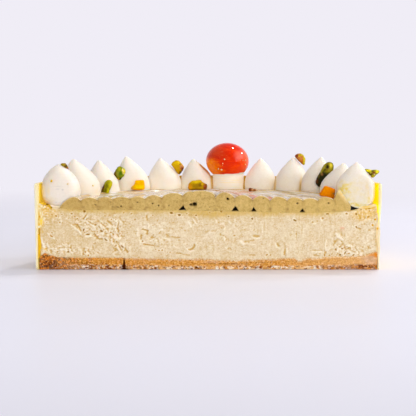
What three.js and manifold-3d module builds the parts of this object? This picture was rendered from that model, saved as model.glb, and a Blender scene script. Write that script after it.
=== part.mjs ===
// Half of a round pistachio cheesecake, as cut through its middle: biscuit crust, baked cheesecake,
// a spiral of piped pistachio cream, a ring of twelve cream kisses, a glazed red ball on the cut-off
// kiss at the back, chopped pistachios, two fruit jelly cubes and a yellow chocolate band round the side.
// Millimetres, +Z up. The cut face looks along -Y. The origin is the middle of the footprint.
import * as THREE from "three";
import { mergeVertices } from "three/addons/utils/BufferGeometryUtils.js";
import Module from "manifold-3d";

const wasm = await Module();
wasm.setup();

// ---------- driving dimensions ----------
const GAP = 0.3; // air kept between pieces that touch
const BAND_R_OUT = 90.2; // outer radius of the band at its foot
const BAND_FLARE = 0.3; // how far the band leans out at its top
const BAND_R_IN = 88.8;
const BAND_H = 45.2;
const CAKE_R = 88.3; // cheesecake and crust
const CUT_Y = -(BAND_R_OUT + BAND_FLARE) / 2; // the plane of the knife; the round cake's centre lies on it
const SPIRAL_X = -2.1; // the spiral's centre is a little off the cake's
const RING_R = 77.8; // ring of the kisses
const BALL_A = 13.0; // half width of the red ball
const BALL_C = 10.8; // half height
const BALL_Z = 54.3; // height of its centre
const CUT_KISS_Z = 47.0; // rim of the kiss that carries the ball

// ---------- small helpers ----------
const DEG = Math.PI / 180;
const lerp = (a, b, t) => a + (b - a) * t;
const smooth = (a, b, v) => {
  const t = Math.min(1, Math.max(0, (v - a) / (b - a)));
  return t * t * (3 - 2 * t);
};
// piecewise linear reading of [[r, z], ...]
const read = (rows, r) => {
  for (let i = 1; i < rows.length; i++)
    if (r <= rows[i][0])
      return lerp(rows[i - 1][1], rows[i][1], (r - rows[i - 1][0]) / (rows[i][0] - rows[i - 1][0]));
  return rows[rows.length - 1][1];
};
// a steady wobble between -1 and 1 for each index, so that no two pieces are alike
const wobble = (i, k = 1) => Math.sin(12.9898 * (i + 1) + 78.233 * k);

function solidOf(geometry) {
  const g = geometry.clone();
  g.deleteAttribute("normal");
  g.deleteAttribute("uv");
  const m = mergeVertices(g, 1e-4);
  return new wasm.Manifold(
    new wasm.Mesh({
      numProp: 3,
      vertProperties: new Float32Array(m.attributes.position.array),
      triVerts: new Uint32Array(m.index.array),
    }),
  );
}
function geometryOf(solid) {
  const mesh = solid.getMesh();
  const g = new THREE.BufferGeometry();
  const xyz = new Float32Array((mesh.vertProperties.length / mesh.numProp) * 3);
  for (let i = 0; i < xyz.length / 3; i++)
    for (let k = 0; k < 3; k++) xyz[3 * i + k] = mesh.vertProperties[i * mesh.numProp + k];
  g.setAttribute("position", new THREE.BufferAttribute(xyz, 3));
  g.setIndex(new THREE.BufferAttribute(new Uint32Array(mesh.triVerts), 1));
  g.computeVertexNormals();
  return g;
}
// the one real body of a cut: crumbs that a cut leaves over are dropped
const largest = (solid) => solid.decompose().reduce((a, b) => (b.volume() > a.volume() ? b : a));

// A half disc whose cut face lies on the knife plane. top and bottom are lists of rows; a row gives
// for an angle a (0 at the left end of the cut, PI at the right end) its radius and height.
// wall rows lie between the outermost top row and the outermost bottom row.
function halfDisc(steps, centreX, topCentre, top, bottomCentre, bottom, wall = []) {
  const xyz = [];
  const add = (x, y, z) => xyz.push(x, y, z) / 3 - 1;
  const grid = (rows) =>
    rows.map((row) => {
      const line = [];
      for (let j = 0; j <= steps; j++) {
        const a = (Math.PI * j) / steps;
        const [r, z] = row(a);
        const end = j === 0 || j === steps; // exactly on the knife plane
        line.push(add(centreX - r * Math.cos(a), CUT_Y + (end ? 0 : r * Math.sin(a)), z));
      }
      return line;
    });
  const tc = add(centreX, CUT_Y, topCentre),
    bc = add(centreX, CUT_Y, bottomCentre);
  const T = grid(top),
    W = grid(wall),
    B = grid(bottom);
  const tri = [];
  const strip = (inner, outer, flip) => {
    for (let j = 0; j < steps; j++) {
      const q = [
        [inner[j], inner[j + 1], outer[j + 1]],
        [inner[j], outer[j + 1], outer[j]],
      ];
      for (const [p, s, t] of q) flip ? tri.push(p, t, s) : tri.push(p, s, t);
    }
  };
  for (let j = 0; j < steps; j++) {
    tri.push(tc, T[0][j + 1], T[0][j]);
    tri.push(bc, B[0][j], B[0][j + 1]);
  }
  for (let k = 1; k < T.length; k++) strip(T[k - 1], T[k], false);
  for (let k = 1; k < B.length; k++) strip(B[k - 1], B[k], true);
  const side = [T[T.length - 1], ...W, B[B.length - 1]];
  for (let k = 1; k < side.length; k++) strip(side[k - 1], side[k], false);
  // cut face
  const left = (rows) => rows.map((l) => l[0]);
  const right = (rows) => rows.map((l) => l[steps]);
  const outline = [
    ...left(T).reverse(),
    tc,
    ...right(T),
    ...right(W),
    ...right(B).reverse(),
    bc,
    ...left(B),
    ...left(W).reverse(),
  ];
  const flat = outline.map((i) => new THREE.Vector2(xyz[3 * i], xyz[3 * i + 2]));
  for (const [a, b, c] of THREE.ShapeUtils.triangulateShape(flat, [])) {
    const A = flat[a],
      Bp = flat[b],
      C = flat[c];
    const area = (Bp.x - A.x) * (C.y - A.y) - (C.x - A.x) * (Bp.y - A.y);
    if (area > 0) tri.push(outline[a], outline[b], outline[c]);
    else tri.push(outline[a], outline[c], outline[b]);
  }
  const g = new THREE.BufferGeometry();
  g.setAttribute("position", new THREE.Float32BufferAttribute(xyz, 3));
  g.setIndex(tri);
  return g;
}

// everything in front of the knife plane
const knife = (() => {
  const g = new THREE.BoxGeometry(300, 100, 200);
  g.translate(0, CUT_Y - 50, 60);
  return solidOf(g);
})();

// ---------- crust: pressed biscuit base with a low rim ----------
const CRUST_LEFT = [[0, 4.3], [20, 4.9], [45, 5.6], [78, 5.9], [82, 6.6], [84.6, 8.6], [87, 7.0], [90, 6.4]];
const CRUST_RIGHT = [[0, 4.0], [20, 3.9], [45, 4.6], [70, 5.4], [79, 6.0], [84.6, 7.0], [87, 8.3], [90, 8.9]];
const crustTop = (a, r) => lerp(read(CRUST_LEFT, r), read(CRUST_RIGHT, r), smooth(0.15, 0.85, a / Math.PI)) + 0.25 * Math.sin(3 * a) * Math.sin(r / 19);
const CRUST_RINGS = [20, 45, 70, 79, 82, 84.6, 87, CAKE_R];
const crust = halfDisc(
  26,
  0,
  4.1,
  CRUST_RINGS.map((r) => (a) => [r, crustTop(a, r)]),
  0,
  [() => [45, 0], () => [CAKE_R - 0.5, 0]],
  [() => [CAKE_R, 0.6]],
);

// ---------- cheesecake: dished where the piping lies, higher at its rim ----------
const FILL_LEFT = [[0, 31.0], [30, 31.2], [60, 31.3], [72, 31.5], [80, 33.0], [85.5, 34.3], [88.3, 33.6]];
const FILL_RIGHT = [[0, 31.0], [20, 30.4], [51, 29.8], [68, 30.3], [77, 31.2], [84, 33.7], [88.3, 34.3]];
const fillTop = (a, r) => lerp(read(FILL_LEFT, r), read(FILL_RIGHT, r), smooth(0.1, 0.9, a / Math.PI));
const FILL_RINGS = [20, 51, 64, 72, 77, 81, 85.5];
const fillEdge = (a) => lerp(87.4, 87.8, a / Math.PI); // it stands off the band at the top
const cheesecakeSolid = (grow) =>
  solidOf(
    halfDisc(
      26,
      0,
      31.0 + grow,
      [...FILL_RINGS.map((r) => (a) => [r, fillTop(a, r) + grow]), (a) => [fillEdge(a) + grow, fillTop(a, 87.5) - 0.3 + grow]],
      4.1 + GAP,
      CRUST_RINGS.map((r) => (a) => [r, crustTop(a, r) + GAP]),
      [(a) => [fillEdge(a) + 0.2 + grow, 30.5], (a) => [lerp(87.8, CAKE_R, a / Math.PI) + grow, 20]],
    ),
  );
const cheesecake = cheesecakeSolid(0);

// ---------- band: a thin yellow wall round the back of the half ----------
const bandProfile = [
  [BAND_R_IN, 0],
  [BAND_R_OUT, 0],
  [BAND_R_OUT + 0.05, BAND_H * 0.5],
  [BAND_R_OUT + BAND_FLARE, BAND_H - 0.5],
  [BAND_R_OUT + BAND_FLARE - 0.45, BAND_H],
  [BAND_R_IN + 0.35, BAND_H],
  [BAND_R_IN, BAND_H - 0.5],
];
const band = (() => {
  const steps = 36,
    n = bandProfile.length,
    xyz = [],
    tri = [];
  for (let j = 0; j <= steps; j++) {
    const a = (Math.PI * j) / steps,
      end = j === 0 || j === steps;
    for (const [r, z] of bandProfile) xyz.push(-r * Math.cos(a), CUT_Y + (end ? 0 : r * Math.sin(a)), z);
  }
  for (let j = 0; j < steps; j++)
    for (let i = 0; i < n; i++) {
      const p = j * n + i,
        q = j * n + ((i + 1) % n);
      tri.push(p, q, p + n, q, q + n, p + n);
    }
  const faces = THREE.ShapeUtils.triangulateShape(
    bandProfile.map(([r, z]) => new THREE.Vector2(r, z)),
    [],
  );
  for (const [a, b, c] of faces) {
    tri.push(a, c, b);
    tri.push(steps * n + a, steps * n + b, steps * n + c);
  }
  const g = new THREE.BufferGeometry();
  g.setAttribute("position", new THREE.Float32BufferAttribute(xyz, 3));
  g.setIndex(tri);
  return g;
})();

// ---------- piping: a flat spiral of soft ropes ----------
// For each rope, from the middle outwards: the radius of the valley outside it, the height of its
// crest and the height of that valley, at the left end of the cut and at the right end.
const ROPES = [
  { r: [5.5, 6.0], crest: [41.2, 41.2], valley: [40.7, 37.5] },
  { r: [11.0, 16.0], crest: [40.9, 40.5], valley: [38.5, 36.8] },
  { r: [21.95, 25.3], crest: [40.3, 39.1], valley: [37.3, 36.0] },
  { r: [30.6, 34.4], crest: [39.0, 39.0], valley: [36.5, 36.1] },
  { r: [38.8, 43.3], crest: [38.3, 38.5], valley: [36.0, 35.5] },
  { r: [47.5, 51.4], crest: [38.1, 38.0], valley: [36.1, 35.2] },
  { r: [55.3, 59.3], crest: [38.0, 37.2], valley: [35.8, 35.8] },
  { r: [64.3, 68.0], crest: [37.7, 38.0], valley: [35.8, 35.8] },
  { r: [74.8, 76.2], crest: [38.0, 38.6], valley: [33.6, 33.4] },
];
const ROPE_STEPS = 26; // along the half turn
const CREST_AT = [0.2, 0.5, 0.8]; // places across a rope between its valleys
const DRAWN_UP = { 0.2: 3.2, 0.5: 4.9, 0.8: 1.3 };
const TUNNEL_W = 1.3; // half width of the small hollows left under a valley
const TUNNEL_H = 2.0;
// valley index -> how open the hollow under it is at each angle
const TUNNELS = { 1: () => 1, 2: (t) => smooth(0.45, 0.9, t), 5: (t) => smooth(0.6, 0.95, t) };
const part = (pair, a) => lerp(pair[0], pair[1], a / Math.PI);
const valleyR = (k, a) => (k < 0 ? 0 : part(ROPES[k].r, a));
const valleyZ = (k, a) => part(ROPES[k].valley, a);
// height of the cheesecake under a point of the piping, whose centre is off the cake's
const fillUnder = (a, r) => {
  const x = SPIRAL_X - r * Math.cos(a),
    y = r * Math.sin(a);
  return fillTop(Math.atan2(y, -x), Math.hypot(x, y));
};
function pipingSolid(grow) {
  const top = [],
    bottom = [];
  top.push((a) => [2.9, 41.0 + grow]);
  ROPES.forEach((rope, k) => {
    if (k > 0)
      for (const t of CREST_AT)
        top.push((a) => {
          const from = valleyR(k - 1, a),
            to = valleyR(k, a);
          const level = lerp(valleyZ(k - 1, a), valleyZ(k, a), t);
          const rise = part(rope.crest, a) - lerp(valleyZ(k - 1, a), valleyZ(k, a), 0.5);
          const swell = Math.pow(1 - Math.pow(Math.abs(2 * t - 1), 2.2), 0.6);
          const along = 0.18 * Math.sin(7 * a + 2.3 * k); // the rope is not even along its length
          const end = k === ROPES.length - 1 && a > Math.PI - 0.02; // drawn up against the last kiss
          return [lerp(from, to, t), level + (rise + along) * swell + (end ? DRAWN_UP[t] : 0) + grow];
        });
    const last = k === ROPES.length - 1;
    top.push((a) => [valleyR(k, a) + (last ? grow : 0), valleyZ(k, a) + grow]);
    if (grow === 0) {
      const open = TUNNELS[k];
      if (open) {
        for (const side of [-1, 0, 1])
          bottom.push((a) => {
            const r = valleyR(k, a) + side * TUNNEL_W;
            return [r, fillUnder(a, r) + GAP + (side === 0 ? TUNNEL_H * open(a / Math.PI) : 0)];
          });
      } else if (!last) bottom.push((a) => [valleyR(k, a), fillUnder(a, valleyR(k, a)) + GAP]);
    }
  });
  const rim = (a) => valleyR(ROPES.length - 1, a) + grow;
  if (grow !== 0) bottom.push((a) => [40, 29]);
  bottom.push((a) => [rim(a) - 0.5, (grow !== 0 ? 29 : fillUnder(a, rim(a)) + GAP)]);
  return solidOf(
    halfDisc(ROPE_STEPS, SPIRAL_X, 41.2 + grow, top, grow !== 0 ? 29 : fillUnder(0, 0) + GAP, bottom),
  );
}
const piping = pipingSolid(0);
const pipingGrown = pipingSolid(GAP);
const cheesecakeGrown = cheesecakeSolid(GAP);

// ---------- kisses ----------
// angle: from straight back, minus to the left; r: widest half width; top: height of the tip;
// lean: how far the tip leans sideways and backwards; ring: own distance from the middle of the cake;
// own, at: profile (radius, height) and place (x, depth behind the knife) of the two beside the cut
const KISSES = [
  {
    angle: -85, r: 10.2, top: 54.9, lean: [-1.3, 0.4], at: [-77.6, 8.2],
    own: [[4.6, 31.4], [7.2, 33.5], [9.3, 36.2], [10.2, 40.4], [9.9, 44.0], [8.2, 48.0], [5.4, 51.4], [2.6, 53.6], [0.8, 54.6]],
  },
  { angle: -66, r: 10.8, top: 56.9, lean: [-4.2, 0.6], ring: 76.8 },
  { angle: -49.5, r: 10.0, top: 55.6, lean: [-3.5, 0.4] },
  { angle: -34.5, r: 9.8, top: 57.5, lean: [-3.9, 0.2] },
  { angle: -19.5, r: 9.6, top: 56.2, lean: [-2.5, 0.5] },
  { angle: -5.2, r: 9.25, top: 55.8, lean: [-1.8, 0.1] },
  { angle: 8.9, r: 9.5, top: 57, lean: [0, 0], cutAt: CUT_KISS_Z },
  { angle: 23.7, r: 9.3, top: 56.1, lean: [0.2, 0.6] },
  { angle: 38.7, r: 9.7, top: 57.0, lean: [1.2, 0.2] },
  { angle: 52.8, r: 9.0, top: 57.6, lean: [2.5, 0.3] },
  { angle: 67.5, r: 10.1, top: 54.6, lean: [2.9, 0.7] },
  {
    angle: 85, r: 10.2, top: 56.2, lean: [0.6, 0.3], at: [77.7, 6.84],
    own: [[5.6, 31.4], [7.4, 32.7], [9.2, 34.8], [10.1, 38.4], [10.15, 42.5], [9.0, 46.8], [6.2, 50.5], [3.2, 53.7], [0.8, 55.8]],
  },
];
const KISS_BASE = 33.5;
// share of the half width against share of the height above the base
const KISS_SHAPE = [[0.86, -0.16], [0.9, 0.02], [0.99, 0.2], [1.0, 0.37], [0.93, 0.53], [0.72, 0.68], [0.44, 0.83], [0.2, 0.94], [0.07, 0.99]];
const kissAt = (k) => {
  const { angle, ring = RING_R, at } = KISSES[k];
  if (at) return [at[0], CUT_Y + at[1]];
  return [ring * Math.sin(angle * DEG), CUT_Y + ring * Math.cos(angle * DEG)];
};
function kissSolid(k, grow) {
  const { r, top, lean, cutAt, own } = KISSES[k];
  const h = top - KISS_BASE;
  const shape = own || KISS_SHAPE.map(([p, q]) => [p * r, KISS_BASE + q * h]);
  const profile = cutAt
    ? [...shape.filter(([, z]) => z < cutAt - 3).map(([p, z]) => [Math.min(p * 1.02, r), z]), [r, cutAt]]
    : shape;
  const points = [
    new THREE.Vector2(0, profile[0][1]),
    ...profile.map(([p, z]) => new THREE.Vector2(p + grow, z)),
    new THREE.Vector2(0, (cutAt || top) + grow),
  ];
  const g = new THREE.LatheGeometry(points, 12, k * 0.37);
  g.rotateX(Math.PI / 2); // the lathe's axis up
  const [x, y] = kissAt(k);
  const p = g.attributes.position;
  for (let i = 0; i < p.count; i++) {
    const up = Math.max(0, (p.getZ(i) - KISS_BASE) / h - 0.3) / 0.7;
    const bend = cutAt ? 0 : Math.pow(up, 1.4);
    p.setXYZ(i, p.getX(i) + x + lean[0] * bend, p.getY(i) + y + lean[1] * bend, p.getZ(i));
  }
  return solidOf(g);
}

// ---------- red ball ----------
const [ballX, ballY] = kissAt(6);
function ballSolid(grow, rows = 10, around = 16) {
  const points = [];
  for (let i = 0; i <= rows; i++) {
    const t = Math.PI * (i / rows);
    points.push(new THREE.Vector2(i === 0 || i === rows ? 0 : (BALL_A + grow) * Math.sin(t), -(BALL_C + grow) * Math.cos(t)));
  }
  const g = new THREE.LatheGeometry(points, around);
  g.rotateX(Math.PI / 2);
  g.rotateY(3 * DEG);
  g.translate(ballX - 0.3, ballY, BALL_Z);
  return solidOf(g);
}

const kisses = KISSES.map((kiss, k) => {
  let s = kissSolid(k, 0).subtract(cheesecakeGrown).subtract(pipingGrown).subtract(knife);
  if (kiss.cutAt) s = s.subtract(ballSolid(GAP));
  return largest(s);
});
const kissesGrown = KISSES.map((kiss, k) => kissSolid(k, GAP));

// ---------- chopped pistachios ----------
// at: place of the middle; size: half length, half width, half thickness; turn: rotation in degrees;
// lies: the kisses it leans on or is pressed into; chop: share of the kernel that the knife left
const NUTS = [
  { at: [-75.7, 8.6, 53.4], size: [3.4, 1.9, 1.7], turn: [0, 38, 10], lies: [0, 1], chop: 1 },
  { at: [-57.2, 40.2, 40.9], size: [4.6, 2.7, 2.3], turn: [8, -62, 0], lies: [2], chop: 1 },
  { at: [-51.6, 58.9, 47.9], size: [4.6, 3.2, 2.9], turn: [0, -48, 20], lies: [2, 3], chop: 0.85 },
  { at: [-18.6, 73.0, 50.2], size: [4.9, 2.8, 2.5], turn: [15, -55, 5], lies: [4, 5], chop: 0.9 },
  { at: [-6.3, 65.2, 40.6], size: [5.7, 2.9, 3.0], turn: [0, 4, -8], lies: [5], chop: 0.9 },
  { at: [26.9, 55.5, 38.9], size: [3.1, 1.9, 1.2], turn: [0, 8, 20], lies: [7], chop: 0.9 },
  { at: [53.6, 61.4, 55.5], size: [3.9, 2.5, 2.4], turn: [0, -48, 30], lies: [8], chop: 0.8 },
  { at: [64.9, 36.6, 48.2], size: [7.4, 2.9, 2.7], turn: [12, -58, 10], lies: [9, 10], chop: 0.93 },
  { at: [86.0, 5.2, 50.3], size: [3.9, 2.0, 2.1], turn: [0, 6, 8], lies: [11], chop: 1 },
];
const nutShape = (n, k, grow) => {
  const rows = 5,
    around = 7,
    points = [];
  for (let i = 0; i <= rows; i++) {
    const t = Math.PI * (i / rows);
    points.push(new THREE.Vector2(i === 0 || i === rows ? 0 : Math.pow(Math.sin(t), 0.8), -Math.cos(t)));
  }
  const g = new THREE.LatheGeometry(points, around);
  g.rotateZ(-Math.PI / 2); // length along X
  const p = g.attributes.position;
  for (let i = 0; i < p.count; i++) {
    const x = p.getX(i),
      y = p.getY(i),
      z = p.getZ(i);
    const chopped = Math.min(x, 2 * n.chop - 1); // the blunt end
    const dent = 1 - 0.12 * Math.max(0, Math.cos(2.1 * x + k));
    p.setXYZ(
      i,
      chopped * (n.size[0] + grow),
      y * (n.size[1] + grow) * dent * (1 + 0.1 * wobble(k)),
      z * (n.size[2] + grow) * (1 - 0.15 * x * wobble(k, 2)),
    );
  }
  g.rotateX(n.turn[0] * DEG);
  g.rotateY(n.turn[1] * DEG);
  g.rotateZ(n.turn[2] * DEG);
  g.translate(n.at[0], CUT_Y + n.at[1], n.at[2]);
  return solidOf(g);
};
// ---------- fruit jelly cubes ----------
const CUBES = [
  { at: [-40.6, 51.6, 41.2], size: [6.6, 6.0, 5.6], turn: [4, -6, 12] },
  { at: [63.1, 9.2, 39.9], size: [6.8, 6.2, 6.4], turn: [6, 20, -14] },
];
const cubeSolid = (c, grow = 0) => {
  const [w, d, h] = c.size.map((v) => v / 2 + grow);
  const b = 0.8; // soft corners, seen from above
  const s = new THREE.Shape();
  s.moveTo(-w + b, -d);
  s.lineTo(w - b, -d);
  s.lineTo(w, -d + b);
  s.lineTo(w, d - b);
  s.lineTo(w - b, d);
  s.lineTo(-w + b, d);
  s.lineTo(-w, d - b);
  s.lineTo(-w, -d + b);
  s.closePath();
  const g = new THREE.ExtrudeGeometry(s, { depth: 2 * h, bevelEnabled: false });
  g.translate(0, 0, -h);
  g.rotateX(c.turn[0] * DEG);
  g.rotateY(c.turn[1] * DEG);
  g.rotateZ(c.turn[2] * DEG);
  g.translate(c.at[0], CUT_Y + c.at[1], c.at[2]);
  return solidOf(g);
};
const rested = (solid, near) => {
  let s = solid.subtract(pipingGrown).subtract(cheesecakeGrown).subtract(knife);
  for (const k of near) s = s.subtract(kissesGrown[k]);
  return largest(s);
};
const cubes = [rested(cubeSolid(CUBES[0]), [2, 3, 4]), rested(cubeSolid(CUBES[1]), [9, 10, 11])];
const cubesGrown = CUBES.map((c) => cubeSolid(c, GAP));
const nuts = NUTS.map((n, k) => {
  let s = rested(nutShape(n, k, 0), n.lies);
  for (const c of cubesGrown) s = s.subtract(c);
  return largest(s);
});

// ---------- the group ----------
const group = new THREE.Group();
group.name = "pistachio_cheesecake_half";
function piece(name, geometry, color, roughness) {
  const mesh = new THREE.Mesh(geometry, new THREE.MeshStandardMaterial({ color, roughness, metalness: 0 }));
  mesh.name = name;
  group.add(mesh);
}
piece("biscuit_crust", crust, 0xc58a4c, 0.9);
piece("cheesecake_filling", geometryOf(cheesecake), 0xead0a4, 0.75);
piece("yellow_band", band, 0xfbdf25, 0.45);
piece("pistachio_piping", geometryOf(piping), 0xcbab6a, 0.4);
kisses.forEach((s, k) => piece("cream_kiss_" + String(k + 1).padStart(2, "0"), geometryOf(s), 0xf8f0e2, 0.55));
piece("red_ball", geometryOf(ballSolid(0)), 0xe5391c, 0.12);
nuts.forEach((s, k) => piece("pistachio_piece_" + (k + 1), geometryOf(s), k % 2 ? 0x8f8a1c : 0x5f7a22, 0.6));
piece("jelly_cube_1", geometryOf(cubes[0]), 0xf5b81f, 0.3);
piece("jelly_cube_2", geometryOf(cubes[1]), 0xdd7a0c, 0.3);

export default group;
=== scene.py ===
# Half of a round pistachio cheesecake, cut face to the viewer: all looks are made here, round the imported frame.
# Lengths inside the making functions are millimetres; meshes are written in metres.
import math

import bpy
import bmesh
import numpy as np
from mathutils import Euler, Matrix, Vector


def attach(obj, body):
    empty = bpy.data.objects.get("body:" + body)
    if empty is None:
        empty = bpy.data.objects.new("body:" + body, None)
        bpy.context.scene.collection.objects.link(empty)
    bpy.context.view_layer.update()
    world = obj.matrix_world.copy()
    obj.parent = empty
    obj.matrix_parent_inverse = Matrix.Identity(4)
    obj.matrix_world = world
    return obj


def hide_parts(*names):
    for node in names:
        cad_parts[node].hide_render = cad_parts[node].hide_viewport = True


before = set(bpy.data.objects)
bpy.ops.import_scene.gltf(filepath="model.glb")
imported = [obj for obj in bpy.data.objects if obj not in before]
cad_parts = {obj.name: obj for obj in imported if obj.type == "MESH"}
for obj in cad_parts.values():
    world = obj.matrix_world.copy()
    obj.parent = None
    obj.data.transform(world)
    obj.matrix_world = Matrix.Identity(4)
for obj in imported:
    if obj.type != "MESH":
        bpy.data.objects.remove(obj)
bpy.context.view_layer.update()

# ------------------------------------------------------------------ sizes, as in the frame
CUT_Y = -45.25  # knife plane
SPIRAL_X = -2.1
RING_R = 77.8
FILL_LEFT = [(0, 31.0), (30, 31.2), (60, 31.3), (72, 31.5), (80, 33.0), (85.5, 34.3), (88.3, 33.6)]
FILL_RIGHT = [(0, 31.0), (20, 30.4), (51, 29.8), (68, 30.4), (74, 31.0), (78, 31.9), (81.0, 32.8), (84, 33.5), (86.5, 34.1), (88.3, 34.4)]
CRUST_LEFT = [(0, 4.3), (20, 4.9), (45, 5.6), (78, 5.9), (82, 6.6), (84.6, 8.6), (87, 7.0), (90, 6.4)]
CRUST_RIGHT = [(0, 4.0), (20, 3.9), (45, 4.6), (70, 5.4), (79, 6.0), (84.6, 7.0), (87, 8.3), (90, 8.9)]

# camera: measured from the photograph
CAM_D, CAM_H, CAM_PITCH, CAM_F = 490.0, 72.0, math.radians(4.63), 944.0


def spot(px, py, depth=0.0):
    """x and z in mm of a picture point (416 x 416) that lies depth mm behind the knife plane."""
    a = CAM_PITCH + np.arctan((py - 208.0) / CAM_F)
    run = CAM_D + depth
    z = CAM_H - run * np.tan(a)
    dist = run * math.cos(CAM_PITCH) + (CAM_H - z) * math.sin(CAM_PITCH)
    return (px - 208.0) * dist / CAM_F, z


def seen(x, d, z):
    """Picture point of x, depth behind the knife plane and height, all in mm."""
    y, u = np.asarray(d, float) + CAM_D, np.asarray(z, float) - CAM_H
    c, sn = math.cos(CAM_PITCH), math.sin(CAM_PITCH)
    dist, up = y * c - u * sn, y * sn + u * c
    return 208.0 + CAM_F * np.asarray(x, float) / dist, 208.0 - CAM_F * up / dist


# ------------------------------------------------------------------ numbers
def smooth(a, b, v):
    t = np.clip((np.asarray(v, float) - a) / (b - a), 0, 1)
    return t * t * (3 - 2 * t)


def read(rows, r):
    rows = np.asarray(rows, float)
    return np.interp(r, rows[:, 0], rows[:, 1])


class Noise:
    """Seeded gradient noise in three dimensions, about -1 to 1."""

    def __init__(self, seed):
        rng = np.random.RandomState(seed)
        p = rng.permutation(256)
        self.p = np.concatenate([p, p]).astype(np.int64)
        g = rng.normal(size=(256, 3))
        self.g = g / np.linalg.norm(g, axis=1)[:, None]

    def __call__(self, x, y, z=0.0):
        x, y, z = np.broadcast_arrays(np.asarray(x, float), np.asarray(y, float), np.asarray(z, float))
        xi, yi, zi = (np.floor(c).astype(np.int64) for c in (x, y, z))
        xf, yf, zf = x - xi, y - yi, z - zi
        fade = lambda t: t * t * t * (t * (t * 6 - 15) + 10)
        u, v, w = fade(xf), fade(yf), fade(zf)
        out = np.zeros(x.shape)
        for dx in (0, 1):
            a = self.p[(xi + dx) & 255]
            for dy in (0, 1):
                b = self.p[(a + yi + dy) & 255]
                for dz in (0, 1):
                    g = self.g[self.p[(b + zi + dz) & 255]]
                    dot = g[..., 0] * (xf - dx) + g[..., 1] * (yf - dy) + g[..., 2] * (zf - dz)
                    out += (u if dx else 1 - u) * (v if dy else 1 - v) * (w if dz else 1 - w) * dot
        return out * 1.6

    def fbm(self, x, y, z=0.0, octaves=4, gain=0.5):
        s, a, f = 0.0, 1.0, 1.0
        for k in range(octaves):
            s = s + a * self(np.asarray(x) * f + 17.3 * k, np.asarray(y) * f - 9.1 * k, np.asarray(z) * f + 3.7 * k)
            a *= gain
            f *= 2.03
        return s


def cells(x, z, size, seed):
    """Distance to the nearest scattered point and to the next, in cell sizes, and a random value of the nearest."""
    rng = np.random.RandomState(seed)
    n = 128
    jx, jz, val = rng.rand(n, n), rng.rand(n, n), rng.rand(n, n)
    x, z = np.asarray(x, float) / size, np.asarray(z, float) / size
    xi, zi = np.floor(x).astype(int), np.floor(z).astype(int)
    f1 = np.full(x.shape, 9.0)
    f2 = np.full(x.shape, 9.0)
    best = np.zeros(x.shape)
    for dx in (-1, 0, 1):
        for dz in (-1, 0, 1):
            cx, cz = xi + dx, zi + dz
            qx, qz = cx + jx[cx % n, cz % n], cz + jz[cx % n, cz % n]
            d = np.hypot(x - qx, z - qz)
            nearer = d < f1
            f2 = np.where(nearer, f1, np.minimum(f2, d))
            best = np.where(nearer, val[cx % n, cz % n], best)
            f1 = np.minimum(f1, d)
    return f1, f2, best


N1, N2, N3, N4 = Noise(11), Noise(23), Noise(37), Noise(53)


def curve(points, n):
    """n+1 points of a smooth curve through the given ones."""
    p = np.asarray(points, float)
    p = np.vstack([2 * p[0] - p[1], p, 2 * p[-1] - p[-2]])
    out = []
    for t in np.linspace(0, len(points) - 1 - 1e-9, n + 1):
        i = int(t)
        s = t - i
        a, b, c, d = p[i], p[i + 1], p[i + 2], p[i + 3]
        out.append(0.5 * (2 * b + (c - a) * s + (2 * a - 5 * b + 4 * c - d) * s * s + (3 * b - 3 * c + d - a) * s ** 3))
    return np.array(out)


# ------------------------------------------------------------------ meshes
def mesh_object(name, verts_mm, faces, material, attrs=None, smooth_faces=True, recalc=True):
    me = bpy.data.meshes.new(name)
    me.from_pydata((np.asarray(verts_mm, float) * 0.001).tolist(), [], faces)
    if recalc:
        bm = bmesh.new()
        bm.from_mesh(me)
        bmesh.ops.recalc_face_normals(bm, faces=bm.faces)
        if bm.calc_volume(signed=True) < 0:
            bmesh.ops.reverse_faces(bm, faces=bm.faces)
        bm.to_mesh(me)
        bm.free()
    me.polygons.foreach_set("use_smooth", [smooth_faces] * len(me.polygons))
    for key, values in (attrs or {}).items():
        a = me.attributes.new(key, "FLOAT", "POINT")
        a.data.foreach_set("value", np.asarray(values, np.float32))
    me.materials.append(material)
    me.update()
    o = bpy.data.objects.new(name, me)
    bpy.context.scene.collection.objects.link(o)
    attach(o, "root")
    return o


def quads(a, b, faces):
    """Quads between two rows of vertex numbers of the same length."""
    for i in range(len(a) - 1):
        faces.append((a[i], a[i + 1], b[i + 1], b[i]))


# ------------------------------------------------------------------ materials
def rgb(r, g, b):
    """Linear colour, with alpha, of an 8-bit sRGB colour."""
    lin = lambda c: c / 12.92 if c <= 0.04045 else ((c + 0.055) / 1.055) ** 2.4
    return (lin(r / 255), lin(g / 255), lin(b / 255), 1.0)


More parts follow.
